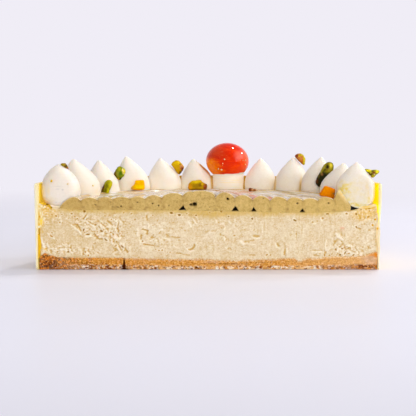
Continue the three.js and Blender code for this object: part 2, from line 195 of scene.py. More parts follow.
class Shader:
    """A node tree under construction."""

    def __init__(self, name):
        self.mat = bpy.data.materials.new(name)
        self.mat.use_nodes = True
        self.nt = self.mat.node_tree
        self.nt.nodes.clear()
        self.out = self.nt.nodes.new("ShaderNodeOutputMaterial")
        self.bsdf = self.nt.nodes.new("ShaderNodeBsdfPrincipled")
        self.nt.links.new(self.bsdf.outputs[0], self.out.inputs[0])
        self.coords = self.nt.nodes.new("ShaderNodeTexCoord").outputs["Object"]

    def put(self, socket, value):
        if hasattr(value, "default_value") or hasattr(value, "links"):
            self.nt.links.new(value, socket)
        else:
            socket.default_value = value

    def set(self, **values):
        for key, value in values.items():
            self.put(self.bsdf.inputs[key.replace("_", " ")], value)

    def scaled(self, sx, sy, sz):
        n = self.nt.nodes.new("ShaderNodeMapping")
        self.put(n.inputs["Vector"], self.coords)
        n.inputs["Scale"].default_value = (sx, sy, sz)
        return n.outputs[0]

    def noise(self, size_mm, detail=3.0, rough=0.55, vector=None, distortion=0.0):
        n = self.nt.nodes.new("ShaderNodeTexNoise")
        self.put(n.inputs["Vector"], self.coords if vector is None else vector)
        n.inputs["Scale"].default_value = 1000.0 / size_mm
        n.inputs["Detail"].default_value = detail
        n.inputs["Roughness"].default_value = rough
        n.inputs["Distortion"].default_value = distortion
        return n.outputs["Fac"]

    def voronoi(self, size_mm, feature="F1", vector=None, output="Distance"):
        n = self.nt.nodes.new("ShaderNodeTexVoronoi")
        n.feature = feature
        self.put(n.inputs["Vector"], self.coords if vector is None else vector)
        n.inputs["Scale"].default_value = 1000.0 / size_mm
        return n.outputs[output]

    def attr(self, name):
        n = self.nt.nodes.new("ShaderNodeAttribute")
        n.attribute_name = name
        return n.outputs["Fac"]

    def ramp(self, value, stops, interpolation="LINEAR"):
        n = self.nt.nodes.new("ShaderNodeValToRGB")
        n.color_ramp.interpolation = interpolation
        e = n.color_ramp.elements
        while len(e) < len(stops):
            e.new(0.5)
        for i, (pos, col) in enumerate(stops):
            e[i].position = pos
            e[i].color = col if hasattr(col, "__len__") else (col, col, col, 1)
        self.put(n.inputs[0], value)
        return n.outputs[0]

    def span(self, value, a, b, c=0.0, d=1.0):
        n = self.nt.nodes.new("ShaderNodeMapRange")
        n.interpolation_type = "SMOOTHSTEP"
        self.put(n.inputs[0], value)
        for i, v in enumerate((a, b, c, d)):
            n.inputs[i + 1].default_value = v
        return n.outputs[0]

    def math(self, op, a, b=None, clamp=False):
        n = self.nt.nodes.new("ShaderNodeMath")
        n.operation = op
        n.use_clamp = clamp
        self.put(n.inputs[0], a)
        if b is not None:
            self.put(n.inputs[1], b)
        return n.outputs[0]

    def mix(self, fac, a, b, blend="MIX"):
        n = self.nt.nodes.new("ShaderNodeMix")
        n.data_type = "RGBA"
        n.blend_type = blend
        self.put(n.inputs[0], fac)
        self.put(n.inputs[6], a)
        self.put(n.inputs[7], b)
        return n.outputs[2]

    def split(self, vector=None):
        n = self.nt.nodes.new("ShaderNodeSeparateXYZ")
        self.put(n.inputs[0], self.coords if vector is None else vector)
        return n.outputs

    def normal(self):
        n = self.nt.nodes.new("ShaderNodeNewGeometry")
        return n.outputs["Normal"]

    def bump(self, height, strength=0.5, distance_mm=0.3, before=None):
        n = self.nt.nodes.new("ShaderNodeBump")
        n.inputs["Strength"].default_value = strength
        n.inputs["Distance"].default_value = distance_mm * 0.001
        self.put(n.inputs["Height"], height)
        if before is not None:
            self.put(n.inputs["Normal"], before)
        return n.outputs[0]

    def scatter(self, weight, radius_mm, scale=1.0):
        self.bsdf.inputs["Subsurface Weight"].default_value = weight
        self.bsdf.inputs["Subsurface Radius"].default_value = tuple(r * 0.001 for r in radius_mm)
        self.bsdf.inputs["Subsurface Scale"].default_value = scale


def cheese_material():
    s = Shader("cheesecake")
    big = s.noise(9.0, 3, 0.5)
    mid = s.noise(2.2, 4, 0.6)
    fine = s.noise(0.55, 3, 0.6)
    x = s.split()[0]
    base = s.ramp(big, [(0.3, rgb(227, 206, 167)), (0.7, rgb(232, 214, 180))])
    base = s.mix(s.span(x, -0.02, -0.085, 0.0, 0.45), base, rgb(222, 192, 138))
    base = s.mix(s.span(mid, 0.35, 0.75, 0.0, 0.16), base, rgb(240, 222, 186))
    base = s.mix(s.span(fine, 0.5, 0.7, 0.0, 0.7), base, rgb(210, 178, 114))
    base = s.mix(s.span(fine, 0.46, 0.3, 0.0, 0.65), base, rgb(250, 237, 206))
    strip = s.ramp(mid, [(0.3, rgb(206, 168, 76)), (0.7, rgb(224, 188, 98))])
    base = s.mix(s.math("MULTIPLY", s.attr("strip"), 0.9), base, strip)
    # painted shade in the hollows of the relief and painted highlight on its raised parts
    base = s.mix(s.math("MULTIPLY", s.attr("cav"), 0.95), base, rgb(208, 166, 80))
    base = s.mix(s.math("MULTIPLY", s.attr("peak"), s.math("SUBTRACT", 0.8, s.math("MULTIPLY", s.attr("strip"), 0.6))), base, rgb(253, 242, 218))
    base = s.mix(s.attr("yolk"), base, rgb(236, 188, 40))
    base = s.mix(s.attr("pink"), base, rgb(236, 178, 140))
    base = s.mix(s.math("MULTIPLY", s.attr("foot"), s.span(s.noise(0.8, 3, 0.65), 0.47, 0.56)), base, rgb(214, 156, 78))
    # painted shade in the pits, darkest in the deep ones
    base = s.mix(s.attr("pit"), base, rgb(198, 148, 28))
    base = s.mix(s.attr("deep"), base, rgb(112, 78, 8))
    # white curd, and a painted highlight along the top edge of the left corner
    base = s.mix(s.attr("white"), base, rgb(255, 248, 228))
    # painted shadow in the corner under the right-hand kiss
    base = s.mix(s.attr("black"), base, rgb(26, 16, 8))
    base = s.mix(s.math("MULTIPLY", s.attr("yolk"), s.span(s.noise(1.1, 3, 0.6), 0.4, 0.56, 0.2, 0.8)), base, rgb(230, 176, 24))
    s.set(Base_Color=base)
    s.set(Roughness=s.span(mid, 0.3, 0.7, 0.5, 0.68))
    s.bsdf.inputs["Specular IOR Level"].default_value = 0.35
    s.scatter(0.18, (1.6, 1.0, 0.5))
    h = s.math("ADD", s.math("MULTIPLY", s.noise(0.9, 4, 0.6), 0.7), s.math("MULTIPLY", fine, 0.5))
    s.set(Normal=s.bump(h, 0.5, 0.2))
    return s.mat


def crust_material():
    s = Shader("biscuit")
    big = s.noise(14.0, 2, 0.5)
    mid = s.noise(1.7, 4, 0.62)
    fine = s.noise(0.85, 4, 0.72)
    flat = s.scaled(0.72, 0.72, 1.0)
    streak = s.noise(0.9, 3, 0.6, flat)
    # compact upper part, orange-tan, drawn out sideways
    upper = s.ramp(streak, [(0.3, rgb(188, 116, 30)), (0.5, rgb(216, 150, 60)), (0.7, rgb(238, 184, 100))])
    upper = s.mix(s.span(fine, 0.54, 0.64, 0.0, 0.75), upper, rgb(250, 214, 146))
    upper = s.mix(s.span(fine, 0.46, 0.36, 0.0, 0.8), upper, rgb(154, 82, 12))
    upper = s.mix(s.span(s.split()[0], 0.03, 0.085, 0.0, 0.45), upper, rgb(232, 186, 128))
    # crumbly lower part: pale bits, orange bits and dark gaps
    bits = s.split(s.voronoi(0.9, "F1", flat, "Color"))
    lower = s.ramp(bits[0], [(0.0, rgb(92, 38, 6)), (0.14, rgb(166, 92, 26)), (0.26, rgb(220, 152, 66)), (0.52, rgb(238, 188, 112)), (0.7, rgb(252, 224, 180)), (1.0, rgb(255, 250, 236))])
    lower = s.mix(s.span(fine, 0.46, 0.36, 0.0, 0.85), lower, rgb(138, 58, 2))
    lower = s.mix(s.span(fine, 0.54, 0.64, 0.0, 0.8), lower, rgb(253, 228, 204))
    base = s.mix(s.attr("lower"), upper, lower)
    x = s.split()[0]
    # browner towards the left end
    clump = s.noise(2.6, 4, 0.6)
    base = s.mix(s.math("MULTIPLY", s.span(x, -0.02, -0.07), s.span(clump, 0.44, 0.56, 0.0, 0.75)), base, s.mix(bits[1], rgb(150, 66, 4), rgb(240, 156, 56)))
    base = s.mix(s.span(x, -0.062, -0.084, 0.0, 0.85), base, s.mix(s.span(bits[1], 0.3, 0.7), rgb(92, 32, 0), rgb(216, 122, 22)))
    base = s.mix(s.math("MULTIPLY", s.span(x, -0.04, -0.08), s.span(fine, 0.57, 0.65, 0.0, 0.85)), base, rgb(250, 200, 116))
    base = s.mix(s.math("MULTIPLY", s.span(x, -0.04, -0.08), s.span(fine, 0.47, 0.38, 0.0, 0.9)), base, rgb(58, 16, 0))
    base = s.mix(s.math("MULTIPLY", s.span(clump, 0.56, 0.66, 0.0, 0.5), s.span(fine, 0.4, 0.6)), base, rgb(250, 218, 180))
    base = s.mix(s.span(big, 0.4, 0.7, 0.0, 0.15), base, rgb(236, 184, 124))
    # darker and redder at the foot of the right end
    base = s.mix(s.math("MULTIPLY", s.span(x, 0.045, 0.08, 0.0, 0.6), s.attr("lower")), base, s.mix(s.span(bits[1], 0.3, 0.7), rgb(150, 64, 6), rgb(234, 152, 62)))
    base = s.mix(s.attr("pale"), base, s.mix(bits[1], rgb(228, 190, 154), rgb(202, 158, 122)))
    base = s.mix(s.math("MULTIPLY", s.attr("brow"), s.span(s.noise(0.8, 3, 0.65), 0.49, 0.56)), base, rgb(244, 214, 164))
    base = s.mix(s.attr("hot"), base, rgb(222, 132, 26))
    # dark crumbs, and painted shade in the recessed gaps and the crack
    base = s.mix(s.attr("cav"), base, rgb(92, 34, 2))
    s.set(Base_Color=base, Roughness=s.span(fine, 0.3, 0.7, 0.7, 0.92))
    s.bsdf.inputs["Specular IOR Level"].default_value = 0.08
    s.scatter(0.06, (1.0, 0.6, 0.3))
    h = s.math("ADD", s.math("MULTIPLY", fine, 0.6), s.math("MULTIPLY", mid, 0.5))
    s.set(Normal=s.bump(h, 0.7, 0.25))
    return s.mat


def piping_material():
    s = Shader("pistachio_cream")
    big = s.noise(7.0, 3, 0.5)
    mid = s.noise(1.6, 3, 0.55)
    fine = s.noise(0.6, 3, 0.65)
    base = s.ramp(big, [(0.3, rgb(196, 163, 90)), (0.7, rgb(211, 179, 106))])
    base = s.mix(s.span(mid, 0.48, 0.66, 0.0, 0.65), base, rgb(178, 144, 70))
    base = s.mix(s.span(mid, 0.46, 0.3, 0.0, 0.5), base, rgb(222, 192, 118))
    base = s.mix(s.span(fine, 0.56, 0.7, 0.0, 0.6), base, rgb(160, 124, 50))
    base = s.mix(s.span(fine, 0.44, 0.3, 0.0, 0.5), base, rgb(232, 206, 134))
    x = s.split()[0]
    base = s.mix(s.span(x, 0.0, -0.07, 0.0, 0.35), base, rgb(196, 158, 84))
    base = s.mix(s.span(x, 0.0, 0.06, 0.0, 0.35), base, rgb(222, 188, 108))
    # painted shade in the grooves between the ropes and along the outer side
    base = s.mix(s.attr("groove_shade"), base, rgb(150, 114, 52))
    # painted reflection of the pale surround on the glazed top
    base = s.mix(s.attr("painted_top_sheen"), base, rgb(234, 224, 214))
    # painted highlight along the rounded front edge of the ropes
    base = s.mix(s.attr("rim"), base, rgb(248, 228, 180))
    base = s.mix(s.attr("film"), base, s.mix(s.span(mid, 0.35, 0.65), rgb(243, 208, 124), rgb(248, 226, 168)))
    # painted shade in the pits and in the open holes under the ropes
    base = s.mix(s.attr("pit"), base, rgb(44, 28, 8))
    base = s.mix(s.attr("hole"), base, rgb(14, 9, 5))
    s.set(Base_Color=base, Roughness=s.span(mid, 0.3, 0.7, 0.42, 0.6))
    s.bsdf.inputs["Specular IOR Level"].default_value = 0.3
    s.put(s.bsdf.inputs["Coat Weight"], s.attr("skin"))
    s.bsdf.inputs["Coat Roughness"].default_value = 0.06
    s.bsdf.inputs["Coat IOR"].default_value = 1.7
    s.scatter(0.15, (2.0, 1.5, 0.7))
    s.set(Normal=s.bump(s.math("ADD", fine, s.math("MULTIPLY", mid, 0.6)), 0.22, 0.12))
    return s.mat


def cream_material():
    s = Shader("white_cream")
    big = s.noise(8.0, 3, 0.5)
    fine = s.noise(0.6, 3, 0.6)
    x = s.split()[0]
    speck = s.noise(0.85, 3, 0.65)
    base = s.ramp(big, [(0.3, rgb(238, 228, 213)), (0.7, rgb(242, 233, 220))])
    base = s.mix(s.span(fine, 0.6, 0.76, 0.0, 0.12), base, rgb(238, 220, 184))
    strong = s.span(x, -0.02, 0.05, 0.35, 1.0)
    base = s.mix(s.math("MULTIPLY", s.span(speck, 0.53, 0.68, 0.0, 0.3), strong), base, rgb(222, 202, 172))
    base = s.mix(s.math("MULTIPLY", s.span(speck, 0.45, 0.32, 0.0, 0.3), strong), base, rgb(252, 246, 236))
    base = s.mix(s.attr("tone"), base, rgb(206, 194, 172))
    # golden stains, and painted warm shade low on the kisses and in the gaps between them
    base = s.mix(s.attr("stain_and_warm_shade"), base, rgb(238, 212, 78))
    # grey marks, and painted shade on the left side of the left-hand kiss and on the right-hand kiss's cut face
    base = s.mix(s.attr("grey_marks_and_shade"), base, rgb(206, 200, 192))
    # painted warm shade in the gaps between kisses and along their feet
    base = s.mix(s.attr("warm_gap_shade"), base, rgb(204, 138, 14))
    # painted shadow under the right-hand kiss
    base = s.mix(s.attr("underside_shadow"), base, rgb(24, 15, 8))
    s.set(Base_Color=base, Roughness=s.span(big, 0.3, 0.7, 0.4, 0.54))
    s.bsdf.inputs["Specular IOR Level"].default_value = 0.35
    s.scatter(0.75, (3.4, 2.9, 2.2))
    s.put(s.bsdf.inputs["Subsurface Weight"], s.span(s.attr("warm_gap_shade"), 0.0, 1.0, 0.75, 0.15))
    # painted glow on all the cream, standing in for light that passes through it: stronger where the pieces stand close
    # together, golden brown in the painted gap shade
    s.put(s.bsdf.inputs["Emission Color"], s.mix(s.attr("warm_gap_shade"), s.mix(s.attr("cream_glow"), rgb(70, 66, 58), rgb(255, 243, 212)), rgb(90, 50, 6)))
    s.bsdf.inputs["Emission Strength"].default_value = 0.2
    h = s.math("ADD", s.noise(1.4, 3, 0.5), s.math("MULTIPLY", fine, 0.35))
    s.set(Normal=s.bump(h, 0.22, 0.2))
    return s.mat


def band_material():
    s = Shader("yellow_band")
    big = s.noise(16.0, 3, 0.5)
    fine = s.noise(0.8, 3, 0.6)
    base = s.ramp(big, [(0.3, rgb(250, 200, 8)), (0.7, rgb(254, 212, 22))])
    base = s.mix(s.attr("left_in"), base, rgb(240, 206, 6))
    # painted shade on the inner wall away from the cut ends
    base = s.mix(s.attr("deep"), base, rgb(190, 144, 44))
    base = s.mix(s.span(fine, 0.55, 0.75, 0.0, 0.12), base, rgb(255, 216, 80))
    base = s.mix(s.attr("edge"), base, s.mix(s.attr("across"), rgb(255, 243, 214), rgb(249, 226, 160)))
    base = s.mix(s.attr("smeared"), base, rgb(254, 230, 186))
    s.set(Base_Color=base, Roughness=s.span(big, 0.3, 0.7, 0.3, 0.42))
    s.bsdf.inputs["Specular IOR Level"].default_value = 0.3
    s.scatter(0.35, (2.0, 1.7, 0.9))
    # painted glow standing in for light that comes through the thin wall from outside
    through = s.mix(s.attr("left_end"), rgb(246, 240, 0), rgb(204, 180, 50))
    through = s.mix(s.attr("deep"), through, rgb(206, 166, 56))
    s.put(s.bsdf.inputs["Emission Color"], s.mix(s.attr("glow"), (0, 0, 0, 1), through))
    s.bsdf.inputs["Emission Strength"].default_value = 0.85
    s.set(Normal=s.bump(s.math("ADD", s.noise(5.0, 2, 0.5), s.math("MULTIPLY", fine, 0.2)), 0.25, 0.25))
    return s.mat


def ball_material():
    s = Shader("red_glaze")
    x, y, z = s.split(s.attr_vec("ballpos"))
    wisp = s.noise(6.0, 4, 0.6, s.scaled(0.6, 1.0, 1.6), distortion=1.6)
    mott = s.noise(0.9, 4, 0.7)
    base = s.ramp(wisp, [(0.3, rgb(216, 32, 0)), (0.55, rgb(236, 50, 0)), (0.78, rgb(252, 84, 2))])
    # redder brown across the upper left, with pale flecks
    band = s.math("MULTIPLY", s.span(z, 0.0, 0.25), s.span(z, 0.85, 0.5))
    left = s.span(x, 0.35, -0.5)
    base = s.mix(s.math("MULTIPLY", s.math("MULTIPLY", band, left), 0.55), base, rgb(196, 44, 12))
    base = s.mix(s.math("MULTIPLY", s.math("MULTIPLY", band, left), s.span(mott, 0.56, 0.7, 0.0, 0.5)), base, rgb(240, 150, 110))
    # amber low on the left
    low = s.math("ADD", s.math("MULTIPLY", x, -1.0), s.math("MULTIPLY", z, -0.42))
    low = s.math("ADD", low, s.math("MULTIPLY", s.math("SUBTRACT", wisp, 0.5), 0.9))
    amber = s.math("MULTIPLY", s.span(low, 0.3, 0.9), s.span(z, 0.26, -0.06))
    base = s.mix(amber, base, rgb(252, 134, 0))
    # bright orange-red low on the right
    hot = s.math("ADD", s.math("MULTIPLY", x, 0.6), s.math("MULTIPLY", z, -0.8))
    base = s.mix(s.span(hot, 0.15, 0.7, 0.0, 0.6), base, rgb(255, 70, 0))
    base = s.mix(s.span(x, 0.55, 0.95, 0.0, 0.6), base, rgb(255, 112, 30))
    # painted reflection in the upper right, a milky sheen ending in a soft line below
    line = s.math("SUBTRACT", z, s.math("ADD", 0.1, s.math("MULTIPLY", s.math("SUBTRACT", wisp, 0.5), 0.1)))
    ex, ez = s.math("DIVIDE", s.math("SUBTRACT", x, 0.54), 0.3), s.math("DIVIDE", s.math("SUBTRACT", z, 0.38), 0.3)
    far = s.math("SQRT", s.math("ADD", s.math("MULTIPLY", ex, ex), s.math("MULTIPLY", ez, ez)))
    painted_sheen = s.math("MULTIPLY", s.span(line, 0.0, 0.1), s.span(far, 1.25, 0.2, 0.0, 0.6))
    base = s.mix(painted_sheen, base, rgb(251, 124, 102))
    # painted reflection of the pale surround, pinker across the upper left
    base = s.mix(s.math("MULTIPLY", s.span(z, 0.1, 0.5), s.span(x, 0.0, -0.8, 0.0, 0.6)), base, rgb(226, 86, 46))
    s.set(Base_Color=base, Roughness=s.span(wisp, 0.3, 0.7, 0.05, 0.1))
    # painted glow on the amber side, standing in for light that comes through it
    s.put(s.bsdf.inputs["Emission Color"], s.mix(amber, (0, 0, 0, 1), rgb(255, 120, 0)))
    s.bsdf.inputs["Emission Strength"].default_value = 0.08
    s.bsdf.inputs["Specular IOR Level"].default_value = 0.15
    s.bsdf.inputs["Specular Tint"].default_value = (1.0, 0.46, 0.28, 1.0)
    s.bsdf.inputs["Coat Weight"].default_value = 0.28
    s.bsdf.inputs["Coat Roughness"].default_value = 0.03
    s.bsdf.inputs["Coat IOR"].default_value = 1.5
    s.set(Normal=s.bump(s.noise(3.0, 2, 0.5), 0.03, 0.2))
    return s.mat


def attr_vec(self, name):
    n = self.nt.nodes.new("ShaderNodeAttribute")
    n.attribute_name = name
    return n.outputs["Vector"]


Shader.attr_vec = attr_vec


def nut_material():
    s = Shader("pistachio_nut")
    fine = s.noise(0.45, 4, 0.65)
    mid = s.noise(1.3, 3, 0.6)
    tint = s.nt.nodes.new("ShaderNodeAttribute")
    tint.attribute_name = "tint"
    base = s.mix(s.span(fine, 0.5, 0.75, 0.0, 0.35), tint.outputs["Color"], s.mix(1.0, tint.outputs["Color"], rgb(150, 140, 120), "MULTIPLY"))
    base = s.mix(s.span(mid, 0.5, 0.7, 0.0, 0.2), base, s.mix(0.3, tint.outputs["Color"], rgb(220, 200, 40)))
    s.set(Base_Color=base, Roughness=s.span(fine, 0.3, 0.7, 0.34, 0.55))
    s.bsdf.inputs["Specular IOR Level"].default_value = 0.1
    s.scatter(0.05, (1.0, 0.9, 0.3))
    s.set(Normal=s.bump(s.math("ADD", fine, mid), 0.5, 0.22))
    return s.mat


def jelly_material(name):
    s = Shader(name)
    big = s.noise(2.4, 3, 0.55)
    fine = s.noise(0.4, 3, 0.6)
    tint = s.nt.nodes.new("ShaderNodeAttribute")
    tint.attribute_name = "tint"
    base = s.mix(s.span(big, 0.35, 0.7, 0.0, 0.3), tint.outputs["Color"], s.mix(1.0, tint.outputs["Color"], rgb(240, 214, 150), "MULTIPLY"))
    s.set(Base_Color=base, Roughness=s.span(fine, 0.3, 0.7, 0.3, 0.45))
    s.bsdf.inputs["Specular IOR Level"].default_value = 0.015
    s.scatter(0.15, (2.0, 1.2, 0.1))
    s.set(Normal=s.bump(s.math("ADD", fine, s.noise(1.5, 2, 0.5)), 0.4, 0.15))
    return s.mat


# ------------------------------------------------------------------ half-round bodies
def half_body(name, nx, nz, phis, left_r, right_r, top, bottom, front, material, colour, top_rough=0.0):
    """A closed half disc. left_r, right_r: radius by height share; top, bottom: height at x and depth;
    front(x, z) gives how far the cut face lies behind the knife plane; colour(x, d, z, share) gives attributes."""
    us, vs = np.linspace(-1, 1, nx + 1), np.linspace(0, 1, nz + 1)

    def place(u, phi, v):
        u, phi, v = np.broadcast_arrays(np.asarray(u, float), phi, v)
        s = 0.5 + 0.5 * u * np.cos(phi)
        r = left_r(v) * (1 - s) + right_r(v) * s
        x, d = u * r * np.cos(phi), r * np.sin(phi)
        b, t = bottom(x, d), top(x, d)
        return np.stack([x, d, b + (t - b) * v, v], -1)

    rows = []
    count = 0

    def put(points):
        nonlocal count
        p = points.reshape(-1, 4)
        rows.append(p)
        ids = np.arange(count, count + len(p)).reshape(points.shape[:-1])
        count += len(p)
        return ids

    F = put(place(us[None, :], 0.0, vs[:, None]))  # [k, i]
    inner = phis[1:-1]
    T = put(place(us[None, :], inner[:, None], 1.0))  # [j, i]
    B = put(place(us[None, :], inner[:, None], 0.0))
    mid_v = vs[1:-1]
    L = put(place(-1.0, inner[:, None], mid_v[None, :]))  # [j, k]
    R = put(place(1.0, inner[:, None], mid_v[None, :]))
    K = put(place(0.0, np.pi / 2 - 1e-6, vs))  # back line
    faces = []
    for k in range(nz):
        quads(F[k], F[k + 1], faces)
    quads(F[nz], T[0], faces)
    quads(F[0], B[0], faces)
    for j in range(len(inner) - 1):
        quads(T[j], T[j + 1], faces)
        quads(B[j], B[j + 1], faces)
    for i in range(nx):
        faces.append((T[-1][i], T[-1][i + 1], K[nz]))
        faces.append((B[-1][i], B[-1][i + 1], K[0]))
    for side, wall in ((0, L), (nx, R)):
        cols = [F[:, side]]
        for j in range(len(inner)):
            cols.append(np.concatenate([[B[j][side]], wall[j], [T[j][side]]]))
        cols.append(K)
        for a, b in zip(cols[:-1], cols[1:]):
            quads(a, b, faces)
    p = np.vstack(rows)
    x, d, z, v = p.T
    nf = F.size
    y = CUT_Y + d
    y[:nf] = CUT_Y + front(x[:nf].reshape(F.shape), z[:nf].reshape(F.shape), v[:nf].reshape(F.shape)).ravel()
    if top_rough:
        up = np.zeros(len(p), bool)
        up[T.ravel()] = True
        z = z + up * (top_rough * N3.fbm(x / 3.0, d / 3.0, 5.0, 4))
    attrs = colour(x, d, z, v, np.arange(len(p)) < nf)
    o = mesh_object(name, np.stack([x, y, z], -1), [tuple(int(q) for q in f) for f in faces], material, attrs)
    return o


def side_mix(x, d):
    """0 at the left end of the half, 1 at the right end."""
    return np.arctan2(d, -x) / math.pi


def fill_top(x, d):
    r = np.hypot(x, d)
    s = smooth(0.1, 0.9, side_mix(x, d))
    return read(FILL_LEFT, r) * (1 - s) + read(FILL_RIGHT, r) * s


def crust_top(x, d):
    r = np.hypot(x, d)
    a = side_mix(x, d)
    s = smooth(0.15, 0.85, a)
    return read(CRUST_LEFT, r) * (1 - s) + read(CRUST_RIGHT, r) * s + 0.25 * np.sin(3 * a * math.pi) * np.sin(r / 19)


def ellipses(x, z, rows, power=2.0):
    """Largest of some soft ellipses; a row gives picture x, y, half width and half height in pixels, and strength."""
    out = np.zeros(np.shape(x))
    for px, py, rx, ry, k in rows:
        cx, cz = spot(px, py)
        q = ((x - cx) / (rx / 1.917)) ** 2 + ((z - cz) / (ry / 1.917)) ** 2
        out = np.maximum(out, k * np.exp(-(q ** power)))
    return out


def hollows(x, z, rows, power=1.6):
    """Depth and mask of small hollows: rows of x, z, long and short half size in mm, turn in radians, depth in mm."""
    depth, mask = np.zeros(x.shape), np.zeros(x.shape)
    for cx, cz, a, b, turn, deep in rows:
        reach = 2.2 * max(a, b)
        ids = np.nonzero((np.abs(x - cx) < reach) & (np.abs(z - cz) < reach))
        dx, dz = x[ids] - cx, z[ids] - cz
        p = (dx * math.cos(turn) + dz * math.sin(turn)) / a
        q = (-dx * math.sin(turn) + dz * math.cos(turn)) / b
        w = np.exp(-((p * p + q * q) ** power))
        depth[ids] = np.maximum(depth[ids], deep * w)
        mask[ids] = np.maximum(mask[ids], min(1.0, deep / 1.1) * np.exp(-((p * p + q * q) ** 1.3) * 1.25))
    return depth, mask


def strokes(x, z, rows):
    """Sum of soft lines: rows of picture points, half width in pixels and amount."""
    out = np.zeros(x.shape)
    for points, width, amount in rows:
        w = width / 1.917
        line = np.array([spot(px, py) for px, py in points])
        lo, hi = line.min(0) - 2.6 * w, line.max(0) + 2.6 * w
        ids = np.nonzero((x > lo[0]) & (x < hi[0]) & (z > lo[1]) & (z < hi[1]))
        if not len(ids[0]):
            continue
        qx, qz = x[ids], z[ids]
        best = np.full(qx.shape, 1e9)
        for (ax, az), (bx, bz) in zip(line[:-1], line[1:]):
            ux, uz = bx - ax, bz - az
            t = np.clip(((qx - ax) * ux + (qz - az) * uz) / max(ux * ux + uz * uz, 1e-9), 0, 1)
            best = np.minimum(best, np.hypot(qx - ax - t * ux, qz - az - t * uz))
        out[ids] += amount * np.exp(-((best / w) ** 2))
    return out


def blurred(h, size):
    """h smoothed over size cells."""
    k = int(3 * size)
    w = np.exp(-0.5 * (np.arange(-k, k + 1) / size) ** 2)
    w /= w.sum()
    for axis in (0, 1):
        pad = [(k, k) if a == axis else (0, 0) for a in (0, 1)]
        q = np.pad(h, pad, mode="edge")
        n = h.shape[axis]
        h = sum(w[i] * np.take(q, range(i, i + n), axis) for i in range(2 * k + 1))
    return h


